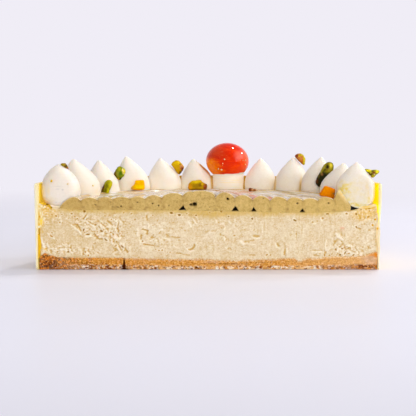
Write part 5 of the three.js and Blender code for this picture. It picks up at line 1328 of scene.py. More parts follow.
def kiss(k, material):
    angle, r, top, lx, ly, ring = KISSES[k]
    cx, cy = kiss_place(k)
    cut_off = k == 6
    shaved = k in FRONT_KISSES
    h = top - KISS_BASE
    around = 220 if shaved else 84
    soft = 0.0
    if shaved:
        pts, cx, depth, soft, lx = FRONT_KISSES[k]
        cy = CUT_Y + depth
        prof = curve(pts, 130)
        prof[-1, 0] = 0
    elif cut_off:
        rim_r = r * 0.985
        pts = [(0.80 * r, -3.6), (0.88 * r, -1.0), (0.93 * r, 1.5), (0.965 * r, 4.5), (0.985 * r, 8.0), (r, 11.0), (rim_r, 12.9), (rim_r - 0.35, 13.45), (rim_r - 0.9, 13.35)]
        prof = curve([(p, KISS_BASE + q) for p, q in pts], 60)
        q = np.linspace(rim_r - 1.15, 0.0, 14)
        inner = np.stack([q, BALL_Z - (BALL_C + 0.05) * np.sqrt(np.clip(1 - (q / (BALL_A + 0.05)) ** 2, 0, 1))], -1)
        prof = np.vstack([prof, inner])
    else:
        prof = curve([(p * r, KISS_BASE + q * h) for p, q in KISS_SHAPE], 60)
        prof[-1, 0] = 0
    n = len(prof)
    verts = [(cx, cy, prof[0, 1])]
    t = np.linspace(0, 2 * math.pi, around, endpoint=False)
    seed = 10.0 + 7.3 * k
    for i in range(n - 1):
        rr, z = prof[i]
        up = max(0.0, (z - KISS_BASE) / h)
        wob = 1 + 0.016 * np.cos(2 * t + seed) + 0.011 * np.cos(3 * t + 2 * seed) * (1 - 0.5 * up)
        if shaved:
            wob = 1 + 0.008 * np.cos(3 * t + seed)
        ring_line = 0.035 * math.sin(z * 2 * math.pi / 1.55 + 0.8 * math.sin(k)) * (1 - smooth(0.75, 1.0, up))
        if cut_off:
            ring_line = 0.05 * math.sin(z * 2 * math.pi / 1.25) + 0.05 * math.sin(z * 2 * math.pi / 0.8 + 1)
        bend = max(0.0, (up - 0.28) / 0.72) ** 1.5 if not cut_off else 0.0
        x = cx + lx * bend + rr * wob * np.cos(t)
        y = cy + ly * bend + rr * wob * np.sin(t)
        skin = 0.10 * N1(x / 6.0 + seed, y / 6.0, z / 6.0) + 0.035 * N2(x / 1.7, y / 1.7 + seed, z / 1.7) + ring_line
        if cut_off and i > 60:
            skin = skin * 0
        k2 = min(1.0, rr / 2.0)
        x = x + skin * np.cos(t) * k2
        y = y + skin * np.sin(t) * k2
        zz = z + 0.0 * t
        if cut_off and i > 46:
            w = smooth(46, 53, i) * (1 - smooth(60, 66, i))
            # the rim is low at the left front, steps up near the middle and ends in a thin lip at the right
            lift = w * (0.95 * smooth(-0.28, -0.16, np.cos(t)) + 0.6 * np.clip(np.cos(t), 0, 1) + 0.2 * N1(2.6 * np.cos(t), 2.6 * np.sin(t), 1.0))
            zz = zz + lift
            x, y = x + 0.9 * lift * np.cos(t), y + 0.9 * lift * np.sin(t)
        verts += list(zip(x, y, zz))
    tip = (cx + lx * (0 if cut_off else 1), cy + ly * (0 if cut_off else 1), prof[-1, 1])
    verts.append(tip)
    faces = []
    row = lambda i: 1 + i * around
    for j in range(around):
        j2 = (j + 1) % around
        faces.append((0, row(0) + j2, row(0) + j))
        for i in range(n - 2):
            faces.append((row(i) + j, row(i) + j2, row(i + 1) + j2, row(i + 1) + j))
        faces.append((row(n - 2) + j, row(n - 2) + j2, len(verts) - 1))
    v = np.array(verts)
    if k in (4, 5):
        v[:, 0] += (0.55 if k == 4 else 1.0) * smooth(0.05, 0.75, (v[:, 0] - cx) / r)
    px, py = seen(v[:, 0], v[:, 1] - CUT_Y, v[:, 2])
    sx, sz = spot(px, py)
    stain_and_warm_shade, grey_marks_and_shade, warm_gap_shade, underside_shadow, cream_glow = (np.zeros(len(v)) for _ in range(5))
    if k == 11:
        # the underside is lifted at the left
        v[:, 2] += 0.8 * smooth(38.0, 32.5, v[:, 2]) * smooth(80.5, 73.5, v[:, 0])
    if k == 2:
        # the right shoulder falls away below the nut beside it
        v[:, 0] -= 1.9 * smooth(-0.3, 0.8, (v[:, 0] - cx) / r) * smooth(34.5, 41.0, v[:, 2])
    if shaved:
        # the knife went through: flat face with faint drag marks
        x, z = v[:, 0], v[:, 2]
        relief = 0.06 * N1.fbm(x / 4.0, z / 4.0, 3.0, 3) + 0.035 * N3(x / 6.0, z / 0.8, 2.0) + 0.05 * N2.fbm(x / 1.3, z / 1.3, 6.0, 2)
        face = CUT_Y + (0.25 if k == 0 else 0.13) + relief + 0.05
        off = v[:, 1] - face
        flat = smooth(0.5, -0.1, off)
        if k == 11:
            # the cut runs out softly at the upper left
            soft = 0.28 + 0.8 * np.maximum(smooth(75.5, 70.5, x), smooth(44.5, 50.5, z))
        v[:, 1] = face + soft * np.logaddexp(0, off / soft)
        px, py = seen(v[:, 0], v[:, 1] - CUT_Y, v[:, 2])
        sx, sz = spot(px, py)
        if k == 11:
            # painted shadow on the lifted underside of the right-hand kiss
            underside_shadow = (1 - flat) * smooth(35.2, 34.2, v[:, 2]) * smooth(80.6, 79.0, v[:, 0])
            # golden smear on the cut face, with painted warm shade along the foot of the kiss
            stain_and_warm_shade = flat * ellipses(sx, sz, [(343.6, 188.5, 3.6, 3.4, 1.0), (346.8, 191.0, 1.8, 2.2, 0.85), (343.0, 195, 3.2, 4, 0.8), (348, 200.0, 3.4, 3.0, 0.6), (354, 204.6, 8, 2.2, 1.0), (360.5, 205.0, 7, 1.6, 0.95), (347.0, 184.6, 4, 1.6, 0.7), (346.0, 189.0, 2.6, 3.6, 1.0), (349.6, 192.4, 2.4, 1.4, 0.7), (352.5, 198.5, 3.0, 1.2, 0.45), (357, 188, 3, 1.0, 0.3), (363.5, 196, 2.4, 3, 0.35), (350.5, 195.5, 1.6, 3.0, 0.4), (368.3, 192, 1.0, 9, 0.35), (354, 190, 8, 8, 0.25), (361, 184, 5, 3, 0.25), (360, 206.2, 8, 1.8, 0.7), (368.4, 199.5, 2.0, 5, 0.7), (348.4, 187.6, 3.2, 1.6, 0.5), (352, 182.5, 3, 1.0, 0.35)], 1.2)
            stain_and_warm_shade *= np.clip(0.95 + 1.1 * N2.fbm(x / 1.3, z / 1.5, 5.0, 3), 0.1, 1.25)
            stain_and_warm_shade = np.maximum(stain_and_warm_shade, 0.22 * flat * (1 - 0.7 * smooth(42, 50, z)) * smooth(71.5, 75.0, x + 0.5 * (46 - z)) * np.clip(0.9 + 1.3 * N1.fbm(x / 2.2, z / 1.9, 2.0, 3), 0.0, 2.0) * (1 - smooth(83.2, 84.6, x)))
            stain_and_warm_shade = np.maximum(stain_and_warm_shade, ellipses(sx, sz, [(340.2, 192.5, 3.4, 8, 0.6), (343.5, 200, 5, 5, 0.7), (343.4, 189.0, 4.4, 6.6, 0.9), (347.4, 191.0, 3.2, 3.6, 0.8), (349.6, 184.2, 4.4, 1.8, 0.55), (341.5, 182.6, 2.4, 3.0, 0.5)], 1.3) * np.clip(0.85 + 1.2 * N2.fbm(x / 1.6, z / 1.6, 8.0, 3), 0.25, 1.15))
            # painted shade: the cut face a little greyer, with greyish lines
            grey_marks_and_shade = 0.14 * flat + 0.3 * flat * ellipses(sx, sz, [(362.5, 190.8, 1.2, 0.8, 0.8), (364.4, 176, 4, 0.6, 0.5), (350, 181, 3, 0.8, 0.4)], 1.2)
        else:
            # grey marks near the cut, and painted shade down the left side of the kiss
            grey_marks_and_shade = ellipses(sx, sz, [(57.5, 189.2, 2.0, 0.8, 0.45), (62.6, 189.8, 1.0, 0.8, 0.95), (56.2, 202.4, 1.2, 0.7, 0.5), (58, 186.4, 4, 0.4, 0.35), (42.6, 192, 2.2, 10, 0.6), (44.5, 199, 2.5, 4, 0.3), (45.2, 189, 3.0, 9, 0.45)], 1.2)
            stain_and_warm_shade = ellipses(sx, sz, [(48.5, 190, 1.6, 6, 0.25), (50, 200, 5, 3, 0.2), (60.0, 206.0, 5, 1.2, 0.3)], 1.2)
            # painted warm shade along the foot of the kiss
            warm_gap_shade = np.clip(strokes(sx, sz, [([(42.0, 202.0), (46.0, 203.7), (49.0, 205.2), (52.4, 206.8)], 0.9, 0.8)]), 0, 0.8)
    else:
        zrel = (v[:, 2] - KISS_BASE) / h
        # painted warm shade low on each kiss
        stain_and_warm_shade = 0.16 * (1 - smooth(0.05, 0.35, zrel)) * np.clip(0.6 + N2.fbm(v[:, 0] / 2.5, v[:, 1] / 2.5, v[:, 2] / 2.5, 2), 0, 1)
        # painted glow, stronger low on the kisses that stand close together
        cream_glow = {6: 0.9, 7: 0.3}.get(k, 0.7 if k < 6 else 0.1) * ((1 - smooth(0.05, 0.55, zrel)) if not cut_off else 1.0) + {4: 0.16, 5: 0.12, 7: 0.26, 8: 0.08}.get(k, 0.0) + (0.34 * smooth(0.0, 0.8, (v[:, 0] - cx) / r) if k == 4 else 0.0)
        if cut_off:
            lines = np.abs(np.sin(v[:, 2] * math.pi / 1.15 + 0.4 * N1(v[:, 0] / 5.0, v[:, 2] / 3.0)))
            stain_and_warm_shade = np.maximum(stain_and_warm_shade, 0.34 * smooth(0.88, 1.0, lines) * smooth(0.0, 0.3, N3(v[:, 0] / 7.0, v[:, 2] / 1.5, 4.0) + 0.25))
        if k == 5:
            # painted warm shade in the gap beside the cut-off kiss
            warm_gap_shade = strokes(sx, sz, [([(200.4, 164.6), (203.2, 167.6), (206.4, 170.4), (210.0, 174.2), (211.8, 179.0), (212.4, 189.0)], 1.0, 1.3)])
            warm_gap_shade = np.clip(1.1 * warm_gap_shade, 0, 1) * (v[:, 0] > cx) * smooth(cy + 2.5, cy + 0.5, v[:, 1])
            low = smooth(173.0, 178.0, py)
            stain_and_warm_shade, warm_gap_shade = np.maximum(stain_and_warm_shade, 0.8 * warm_gap_shade * low), warm_gap_shade * (1 - 0.35 * low)
        # painted warm shade in the gaps between kisses 8 and 9 and between 9 and 10
        if k in (7, 8):
            side = np.clip(strokes(sx, sz, [([(276.2, 173.0), (275.4, 180.0), (274.6, 191.0)], 1.0, 1.0)]) * smooth(170, 186, py), 0, 1) * (v[:, 1] < cy + 3)
            warm_gap_shade, stain_and_warm_shade = np.maximum(warm_gap_shade, 0.4 * side), np.maximum(stain_and_warm_shade, 0.75 * side)
        if k in (8, 9):
            side = np.clip(strokes(sx, sz, [([(301.6, 175.0), (300.6, 182.0), (299.8, 192.0)], 1.1, 1.0)]) * smooth(172, 188, py), 0, 1) * (v[:, 1] < cy + 3)
            warm_gap_shade, stain_and_warm_shade = np.maximum(warm_gap_shade, 0.4 * side), np.maximum(stain_and_warm_shade, 0.75 * side)
        # painted shade along the feet of the back kisses
        if k in (4, 5, 6, 7, 8, 9):
            foot_y = 190.2 if k < 8 else 191.2
            warm_gap_shade = np.maximum(warm_gap_shade, 0.45 * np.exp(-(((py - foot_y) / 0.8) ** 2)) * (v[:, 1] < cy) * np.clip(0.5 + 0.9 * N1(v[:, 0] / 2.5, 3.0), 0, 1))
    o = mesh_object("kiss_%02d" % (k + 1), v, faces, material, {"tone": {0: 0.03, 1: 0.1, 2: 0.14, 3: 0.02}.get(k, 0.0) * np.ones(len(v)), "stain_and_warm_shade": np.clip(stain_and_warm_shade, 0, 1), "grey_marks_and_shade": np.clip(grey_marks_and_shade, 0, 1), "warm_gap_shade": warm_gap_shade, "underside_shadow": underside_shadow, "cream_glow": cream_glow * np.ones(len(v))})
    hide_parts("cream_kiss_%02d" % (k + 1))


# ------------------------------------------------------------------ red ball
def red_ball():
    bx, by = kiss_place(6)
    bx -= 0.3
    rows, around = 84, 120
    verts, pos = [], []
    turn = Matrix.Rotation(math.radians(3), 3, "Y")

    def place(th, ph):
        n = Vector((math.sin(th) * math.cos(ph), math.sin(th) * math.sin(ph), math.cos(th)))
        lop = 1 + 0.012 * math.sin(2 * ph + 1) * math.sin(th)
        low = 1 - 0.02 * max(0.0, -n.z) ** 2
        p = Vector((n.x * BALL_A * 0.982 * lop * low - 0.12, n.y * BALL_A * low, n.z * BALL_C + 0.18 * max(0.0, n.z)))
        p = turn @ p
        return (bx + p.x, by + p.y, BALL_Z + p.z), (n.x, n.y, n.z)

    grid = []
    top = place(0, 0)
    verts.append(top[0])
    pos.append(top[1])
    for i in range(1, rows):
        for j in range(around):
            v, n = place(math.pi * i / rows, 2 * math.pi * j / around)
            verts.append(v)
            pos.append(n)
    end = place(math.pi, 0)
    verts.append(end[0])
    pos.append(end[1])
    faces = []
    for j in range(around):
        j2 = (j + 1) % around
        faces.append((0, 1 + j, 1 + j2))
        for i in range(rows - 2):
            a, b = 1 + i * around, 1 + (i + 1) * around
            faces.append((a + j, b + j, b + j2, a + j2))
        faces.append((1 + (rows - 2) * around + j, len(verts) - 1, 1 + (rows - 2) * around + j2))
    o = mesh_object("glazed_ball", np.array(verts), faces, ball_material())
    a = o.data.attributes.new("ballpos", "FLOAT_VECTOR", "POINT")
    a.data.foreach_set("vector", np.array(pos, np.float32).ravel())
    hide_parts("red_ball")
    return bx, by


# ------------------------------------------------------------------ chips, cubes and crumbs
def ico(sub):
    bm = bmesh.new()
    bmesh.ops.create_icosphere(bm, subdivisions=sub, radius=1.0)
    v = np.array([q.co[:] for q in bm.verts])
    f = [tuple(q.index for q in p.verts) for p in bm.faces]
    bm.free()
    return v, f


ICO2 = ico(3)


def turned(v, turn):
    m = np.array(Euler([math.radians(q) for q in turn], "XYZ").to_matrix())
    return v @ m.T


def set_tint(o, colours):
    a = o.data.attributes.new("tint", "FLOAT_COLOR", "POINT")
    a.data.foreach_set("color", np.asarray(colours, np.float32).ravel())


def outlined(name, node, slot, material, outline, depth, half, base, patches, seed, boxy=0.72, rough=1.0, centre=None):
    """A body with the given outline in the picture (points, in order), at a depth and with half a thickness in mm.
    base: its colour; patches: picture x, y, half width, half height, colour, strength, painted in order."""
    pts = np.array([spot(px, py, depth) for px, py in outline])
    c = pts.mean(0) if centre is None else np.array(spot(*centre, depth))
    nt, nf = 96, 56
    th = np.linspace(0, 2 * math.pi, nt, endpoint=False)
    rad = np.zeros(nt)
    for i, t in enumerate(th):
        u = np.array([math.cos(t), math.sin(t)])
        for a, b in zip(pts, np.roll(pts, -1, 0)):
            e = b - a
            det = u[0] * -e[1] + u[1] * e[0]
            if abs(det) < 1e-12:
                continue
            w = a - c
            dist = (w[0] * -e[1] + w[1] * e[0]) / det
            s = (u[0] * w[1] - u[1] * w[0]) / det
            if dist > 0 and -1e-9 <= s <= 1 + 1e-9:
                rad[i] = max(rad[i], dist)
    k = np.exp(-0.5 * (np.arange(-5, 6) / 1.6) ** 2)
    k /= k.sum()
    rad = sum(k[j] * np.roll(rad, j - 5) for j in range(11)) * (1.06 if slot == "pistachio_nut" else 1.0)
    phi = np.linspace(0, math.pi, nf + 1)
    verts = []
    for p in phi:
        out = abs(math.sin(p)) ** boxy
        deep = -math.copysign(abs(math.cos(p)) ** boxy, math.cos(p)) * half
        if p in (phi[0], phi[-1]):
            verts.append((c[0], deep, c[1]))
            continue
        for t, r in zip(th, rad):
            verts.append((c[0] + r * out * math.cos(t), deep, c[1] + r * out * math.sin(t)))
    v = np.array(verts)
    faces = []
    for j in range(nt):
        j2 = (j + 1) % nt
        faces.append((0, 1 + j2, 1 + j))
        for i in range(nf - 2):
            a, b = 1 + i * nt, 1 + (i + 1) * nt
            faces.append((a + j, a + j2, b + j2, b + j))
        a = 1 + (nf - 2) * nt
        faces.append((a + j, a + j2, len(v) - 1))
    # relief: broad facets and fine grain, along the direction from the middle
    q = (v - np.array([c[0], 0, c[1]]))
    size = np.linalg.norm(q, axis=1) + 1e-9
    u = q / size[:, None]
    f1, f2, val = cells(q[:, 0] + 0.7 * q[:, 1] + seed, q[:, 2] - 0.5 * q[:, 1] + seed, 2.3, int(seed) + 60)
    relief = rough * (0.20 * (val - 0.5) * smooth(0.0, 0.25, f2 - f1) + 0.16 * N1.fbm(q[:, 0] / 1.6 + seed, q[:, 1] / 1.6, q[:, 2] / 1.6, 3) + 0.07 * N2.fbm(q[:, 0] / 0.5, q[:, 1] / 0.5 + seed, q[:, 2] / 0.5, 2))
    v = v + u * np.where(size > 0.3, relief, 0)[:, None]
    d = v[:, 1] + depth
    d = np.maximum(d, 0.12)
    v[:, 1] = CUT_Y + d
    px, py = seen(v[:, 0], d, v[:, 2])
    col = np.tile(np.array(rgb(*base)), (len(v), 1))
    wx = px + 0.55 * N3(v[:, 0] / 0.9, v[:, 1] / 0.9, v[:, 2] / 0.9)
    wy = py + 0.55 * N3(v[:, 0] / 0.9 + 40, v[:, 1] / 0.9, v[:, 2] / 0.9)
    for x0, y0, rx, ry, colour, k in patches:
        m = k * np.exp(-((((wx - x0) / rx) ** 2 + ((wy - y0) / ry) ** 2) ** 1.6))
        col = col * (1 - m[:, None]) + np.array(rgb(*colour)) * m[:, None]
    o = mesh_object(name, v, faces, material)
    if slot == "pistachio_nut":
        col[:, :3] = 1.16 * col[:, :3] ** 1.14
    set_tint(o, np.clip(col, 0, 1))
    if node:
        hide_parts(node)
    return o


def crumbs(name, rows, material, seed, colours=None, wild=0.28):
    """Joined small bits: rows of x, depth, z, size."""
    rng = np.random.RandomState(seed)
    v0, f0 = ICO2
    verts, faces, cols = [], [], []
    for i, (x, d, z, s) in enumerate(rows):
        q = v0 * (1 + wild * N2(v0[:, 0] * 1.7 + rng.rand() * 90, v0[:, 1] * 1.7, v0[:, 2] * 1.7))[:, None]
        q = q * s * rng.uniform(0.75, 1.2, 3)
        q = turned(q, rng.uniform(0, 180, 3)) + np.array([x, CUT_Y + d, z])
        base = len(verts)
        verts += q.tolist()
        faces += [tuple(base + j for j in f) for f in f0]
        cols += [rgb(*colours[i])] * len(q) if colours else []
    o = mesh_object(name, np.array(verts), faces, material, {}, recalc=False)
    if colours:
        set_tint(o, cols)
    return o


# ------------------------------------------------------------------ make everything
cheesecake()
crust()
band()
piping()
CREAM = cream_material()
for i in range(12):
    kiss(i, CREAM)
ball_x, ball_y = red_ball()

NUT = nut_material()
YG, GR, DK, GOLD, BR, PK = (196, 186, 22), (96, 108, 14), (40, 40, 12), (206, 158, 12), (104, 54, 24), (188, 128, 90)
outlined("nut_1", "pistachio_piece_1", "pistachio_nut", NUT, [(60.6, 164.6), (62.4, 163.2), (65.0, 163.6), (67.6, 166.2), (68.6, 168.6), (66.0, 168.4), (63.0, 166.4)], 8.6, 1.5, (160, 122, 44),
         [(63.0, 164.6, 2.2, 1.4, (158, 140, 30), 1), (66.2, 166.2, 1.2, 1.2, (70, 70, 30), 1), (68.0, 168.0, 1.2, 1.2, (176, 104, 66), 1)], 1.0)
outlined("nut_2", "pistachio_piece_2", "pistachio_nut", NUT, [(101.4, 192.4), (103.2, 187.2), (105.4, 182.2), (107.6, 180.4), (110.4, 180.6), (112.3, 183.2), (111.2, 186.6), (109.6, 189.6), (108.8, 193.6), (105.4, 194.7), (102.8, 194.0)], 40.2, 2.3, (172, 164, 16),
         [(103.2, 187.5, 1.8, 6.5, (92, 56, 30), 1), (101.8, 192.6, 1.4, 1.6, (70, 34, 24), 1), (106.6, 186.0, 1.5, 3.6, (106, 104, 10), 0.9), (104.6, 191.4, 1.5, 2.4, (120, 118, 10), 0.9), (110.8, 184.6, 1.6, 3.4, (206, 198, 20), 0.9), (108.2, 191.0, 1.2, 2.6, (196, 190, 16), 0.8), (106.0, 190.0, 0.6, 2.0, (70, 60, 6), 0.9), (108.6, 182.4, 1.8, 1.0, (150, 148, 20), 0.8)], 5.0, rough=1.2)
# nut_3: the pale streaks are painted highlights and the dark green lower edge painted shade
outlined("nut_3", "pistachio_piece_3", "pistachio_nut", NUT, [(114.2, 173.4), (116.6, 169.4), (119.2, 166.4), (121.6, 167.2), (124.2, 168.8), (126.0, 170.8), (126.7, 173.4), (126.0, 175.2), (126.2, 177.6), (123.6, 179.8), (119.6, 179.8), (116.4, 177.6)], 58.9, 3.0, (130, 140, 14),
         [(115.4, 174.0, 1.3, 4.6, (110, 76, 26), 0.9), (117.6, 173.4, 1.6, 2.6, (156, 156, 60), 0.8), (120.8, 173.4, 2.0, 2.2, (78, 118, 10), 0.95), (119.4, 168.8, 1.6, 2.4, (176, 170, 26), 1), (124.2, 170.8, 2.2, 2.4, (222, 206, 50), 1), (122.8, 170.2, 0.8, 2.4, (244, 222, 150), 0.9), (124.2, 173.6, 1.6, 1.0, (238, 216, 130), 0.7), (124.6, 176.6, 1.8, 1.6, (140, 150, 12), 0.9), (121.2, 178.6, 3.6, 1.3, (60, 66, 2), 0.95), (118.2, 178.8, 1.4, 1.0, (216, 178, 40), 0.9), (118.0, 176.4, 1.4, 1.0, (150, 140, 40), 0.7)], 9.0, rough=1.5, boxy=0.8)
outlined("nut_4", "pistachio_piece_4", "pistachio_nut", NUT, [(171.3, 164.6), (173.4, 162.2), (176.6, 160.4), (179.4, 161.4), (181.4, 163.6), (183.0, 165.2), (183.9, 167.4), (181.8, 171.2), (179.4, 174.6), (177.8, 173.2), (174.4, 168.6)], 73.0, 2.8, (206, 166, 6),
         [(178.8, 171.6, 1.8, 2.2, (186, 140, 10), 0.7), (181.6, 166.8, 1.9, 2.2, (206, 142, 100), 1), (180.6, 168.6, 1.3, 1.4, (190, 110, 50), 0.9), (182.6, 170.0, 1.7, 3.0, (104, 26, 10), 1), (180.4, 173.0, 1.4, 2.2, (70, 14, 6), 1), (176.8, 163.0, 3.4, 1.8, (224, 192, 8), 0.9), (173.6, 166.2, 1.8, 1.8, (222, 178, 10), 0.6), (180.4, 164.4, 0.9, 0.8, (140, 110, 8), 0.8)], 13.0)
outlined("nut_5", "pistachio_piece_5", "pistachio_nut", NUT, [(188.6, 188.0), (188.9, 184.6), (190.4, 182.4), (193.0, 180.8), (197.0, 180.5), (200.4, 180.4), (202.4, 182.2), (203.4, 183.5), (206.9, 184.1), (206.6, 187.0), (205.4, 189.8), (198.0, 190.0), (189.4, 190.0)], 65.2, 2.9, (198, 156, 8),
         [(190.0, 186.6, 2.2, 2.8, (230, 158, 16), 0.9), (196.4, 181.8, 5.4, 1.6, (224, 192, 8), 1), (196.0, 186.0, 3.8, 2.6, (158, 124, 8), 0.8), (200.4, 184.8, 2.0, 2.4, (120, 92, 10), 0.8), (202.4, 184.4, 1.2, 1.6, (214, 176, 20), 0.8), (205.2, 186.8, 1.8, 3.4, (140, 66, 38), 1), (206.4, 184.6, 0.8, 0.8, (110, 44, 26), 1), (204.6, 186.0, 0.7, 0.8, (190, 110, 60), 0.8), (196.0, 189.6, 8.0, 0.8, (130, 84, 10), 0.8)], 17.0, rough=1.1)
outlined("nut_6", "pistachio_piece_6", "pistachio_nut", NUT, [(248.9, 188.4), (251.0, 188.0), (253.4, 188.8), (256.0, 189.0), (257.6, 190.6), (259.6, 192.6), (257.0, 192.8), (252.6, 191.9), (249.0, 191.4)], 55.5, 1.8, (150, 96, 50),
         [(250.4, 189.8, 1.8, 1.6, (126, 52, 20), 0.9), (252.4, 189.8, 1.0, 1.2, (206, 150, 110), 0.8), (254.6, 190.2, 1.2, 1.2, (150, 84, 40), 0.9), (256.6, 189.8, 0.9, 0.9, (214, 176, 130), 0.9), (257.6, 192.0, 1.9, 1.3, (128, 118, 20), 1)], 21.0)
outlined("nut_7", "pistachio_piece_7", "pistachio_nut", NUT, [(294.8, 156.2), (297.0, 154.2), (300.4, 153.7), (303.4, 155.4), (304.8, 158.0), (305.1, 161.2), (304.0, 165.6), (301.4, 163.4), (298.2, 160.2)], 61.4, 2.5, (196, 128, 62),
         [(296.6, 155.8, 2.0, 1.8, (142, 74, 48), 1), (300.4, 158.8, 1.8, 1.8, (206, 140, 84), 0.8), (301.6, 162.0, 1.6, 2.2, (190, 112, 30), 0.9), (301.2, 155.0, 2.6, 1.1, (190, 172, 20), 1), (304.2, 158.6, 1.3, 4.2, (206, 192, 24), 1), (304.2, 163.4, 1.2, 2.0, (190, 176, 20), 1), (299.4, 156.4, 1.0, 0.8, (226, 190, 40), 0.7)], 25.0)
outlined("nut_8", "pistachio_piece_8", "pistachio_nut", NUT, [(315.7, 180.6), (317.6, 177.6), (319.6, 173.4), (321.6, 169.4), (323.8, 165.6), (326.6, 163.0), (329.8, 162.3), (332.2, 163.8), (333.2, 166.8), (332.6, 170.4), (331.0, 173.6), (328.2, 177.2), (325.0, 181.0), (322.6, 184.6), (319.8, 186.4), (316.9, 184.8)], 36.6, 2.8, (44, 42, 18),
         [(321.4, 170.2, 1.3, 4.4, (160, 148, 30), 0.9), (318.9, 175.8, 0.9, 2.4, (120, 104, 24), 0.8), (322.0, 174.4, 1.3, 1.4, (150, 100, 70), 0.8), (316.8, 181.4, 1.5, 2.4, (104, 60, 22), 1), (327.8, 167.2, 5.0, 4.9, (204, 188, 34), 1), (331.0, 165.4, 1.6, 2.6, (226, 206, 70), 0.9), (327.8, 163.4, 2.2, 1.0, (150, 132, 10), 0.9), (324.6, 167.2, 1.3, 2.0, (176, 164, 62), 0.9), (327.4, 167.0, 2.3, 3.2, (44, 36, 18), 1), (329.0, 168.8, 1.6, 1.0, (140, 110, 60), 0.8), (326.6, 170.4, 1.4, 0.9, (130, 104, 14), 0.9), (324.8, 169.8, 1.2, 1.2, (48, 44, 18), 0.9), (330.6, 171.2, 1.4, 1.2, (150, 128, 60), 0.8), (320.4, 171.6, 0.8, 1.4, (180, 170, 110), 0.8), (322.8, 168.0, 0.8, 2.4, (170, 156, 40), 0.8)], 29.0, rough=1.0, boxy=0.8)
# nut_9: the pale spots are painted highlights
outlined("nut_9", "pistachio_piece_9", "pistachio_nut", NUT, [(364.6, 169.4), (368.0, 169.2), (372.0, 170.2), (376.0, 169.8), (379.2, 170.8), (378.0, 173.0), (375.6, 174.6), (373.0, 177.4), (371.0, 176.6), (368.6, 173.4), (366.0, 171.6)], 5.2, 2.0, (150, 140, 24),
         [(368.6, 170.6, 3.4, 1.3, (236, 220, 14), 1), (377.2, 171.6, 2.0, 1.8, (230, 220, 50), 1), (372.4, 171.0, 1.4, 1.0, (90, 80, 20), 0.8), (373.8, 172.8, 2.0, 1.3, (128, 62, 36), 0.95), (371.2, 174.2, 1.3, 1.3, (66, 40, 16), 0.95), (373.0, 176.2, 1.6, 1.3, (170, 156, 20), 0.9), (374.6, 174.2, 0.9, 0.8, (214, 200, 140), 0.8), (375.4, 170.4, 0.9, 0.7, (170, 160, 40), 0.8), (370.4, 172.8, 0.8, 0.8, (206, 190, 90), 0.7)], 33.0, rough=1.2)
JELLY = jelly_material("jelly")
outlined("jelly_yellow", "jelly_cube_1", "yellow_jelly", JELLY, [(135.4, 180.2), (139.6, 180.0), (143.9, 180.2), (144.7, 184.6), (144.9, 187.4), (144.3, 189.9), (139.0, 190.1), (133.6, 189.9), (130.6, 188.8), (130.6, 187.0), (133.4, 185.6), (134.8, 183.6)], 51.6, 3.0, (252, 186, 8),
         [(139.6, 182.2, 5.0, 2.0, (255, 192, 0), 1), (139.8, 186.8, 5.4, 2.2, (255, 224, 0), 1), (140.0, 189.6, 5.4, 0.7, (255, 166, 0), 0.9), (131.6, 187.8, 2.0, 1.8, (214, 170, 84), 0.9), (144.2, 188.6, 0.9, 1.4, (250, 160, 10), 0.7)], 3.0, boxy=0.45, rough=0.5, centre=(139.2, 185.2))
outlined("jelly_orange", "jelly_cube_2", "orange_jelly", JELLY, [(325.0, 185.5), (330.0, 187.2), (334.9, 189.1), (334.6, 193.4), (333.8, 197.4), (332.6, 200.2), (328.0, 199.2), (322.0, 197.0), (318.9, 194.6), (321.8, 190.4)], 9.2, 3.0, (238, 138, 2),
         [(325.6, 190.6, 4.0, 3.6, (244, 146, 0), 1), (333.0, 195.4, 2.0, 4.6, (206, 116, 6), 0.9), (333.8, 193.6, 0.9, 0.9, (140, 116, 60), 0.9), (327.0, 196.6, 5.5, 1.4, (224, 128, 0), 0.8), (330.4, 199.4, 2.4, 1.6, (190, 92, 2), 0.8)], 6.0, boxy=0.45, rough=0.5)


def on_kiss(k, px, py):
    """A point of the front of a kiss seen at a picture point: x, depth, z."""
    cx, cy = kiss_place(k)
    dc = cy - CUT_Y
    r, top = KISSES[k][1], KISSES[k][2]
    depth = max(dc - r * 0.8, 0.2)
    for _ in range(6):
        x, z = spot(px, py, depth)
        share = np.interp((z - KISS_BASE) / (top - KISS_BASE), [q for _, q in KISS_SHAPE], [p for p, _ in KISS_SHAPE]) * r
        off = x - cx
        depth = max(dc - math.sqrt(max(share ** 2 - off ** 2, 0.0)), 0.25 if k == 0 else 0.1)
    return x, depth, z


bits = [(*on_kiss(0, 51.5, 181.0), 0.62), (*on_kiss(1, 74.6, 176.2), 0.6), (*on_kiss(0, 67.6, 184.0), 0.5), (*on_kiss(1, 93.0, 185.6), 0.5)]
crumbs("nut_crumbs", bits, NUT, 3, [(228, 186, 30), (196, 184, 30), (238, 214, 160), (240, 224, 150)])


def on_ball(px, py):
    depth = ball_y - CUT_Y - BALL_A
    for _ in range(6):
        x, z = spot(px, py, depth)
        q = 1 - ((x - ball_x) / BALL_A) ** 2 - ((z - BALL_Z) / BALL_C) ** 2
        depth = ball_y - CUT_Y - BALL_A * math.sqrt(max(q, 0.0))
    return x, depth, z


dots = [(*on_ball(px, py), s) for px, py, s in ((224.6, 159.4, 0.42), (222.7, 163.6, 0.4), (222.6, 165.6, 0.24), (218.5, 168.8, 0.42), (221.6, 169.7, 0.52), (245.2, 164.4, 0.4), (242.9, 160.4, 0.32), (245.6, 160.4, 0.36), (240.5, 160.3, 0.2))]
crumbs("cream_dots", dots, jelly_material("cream_dot"), 4, [(255, 226, 176), (250, 206, 160), (240, 170, 120), (252, 222, 176), (255, 232, 186), (255, 190, 140), (250, 170, 120), (255, 196, 150), (250, 160, 110)])

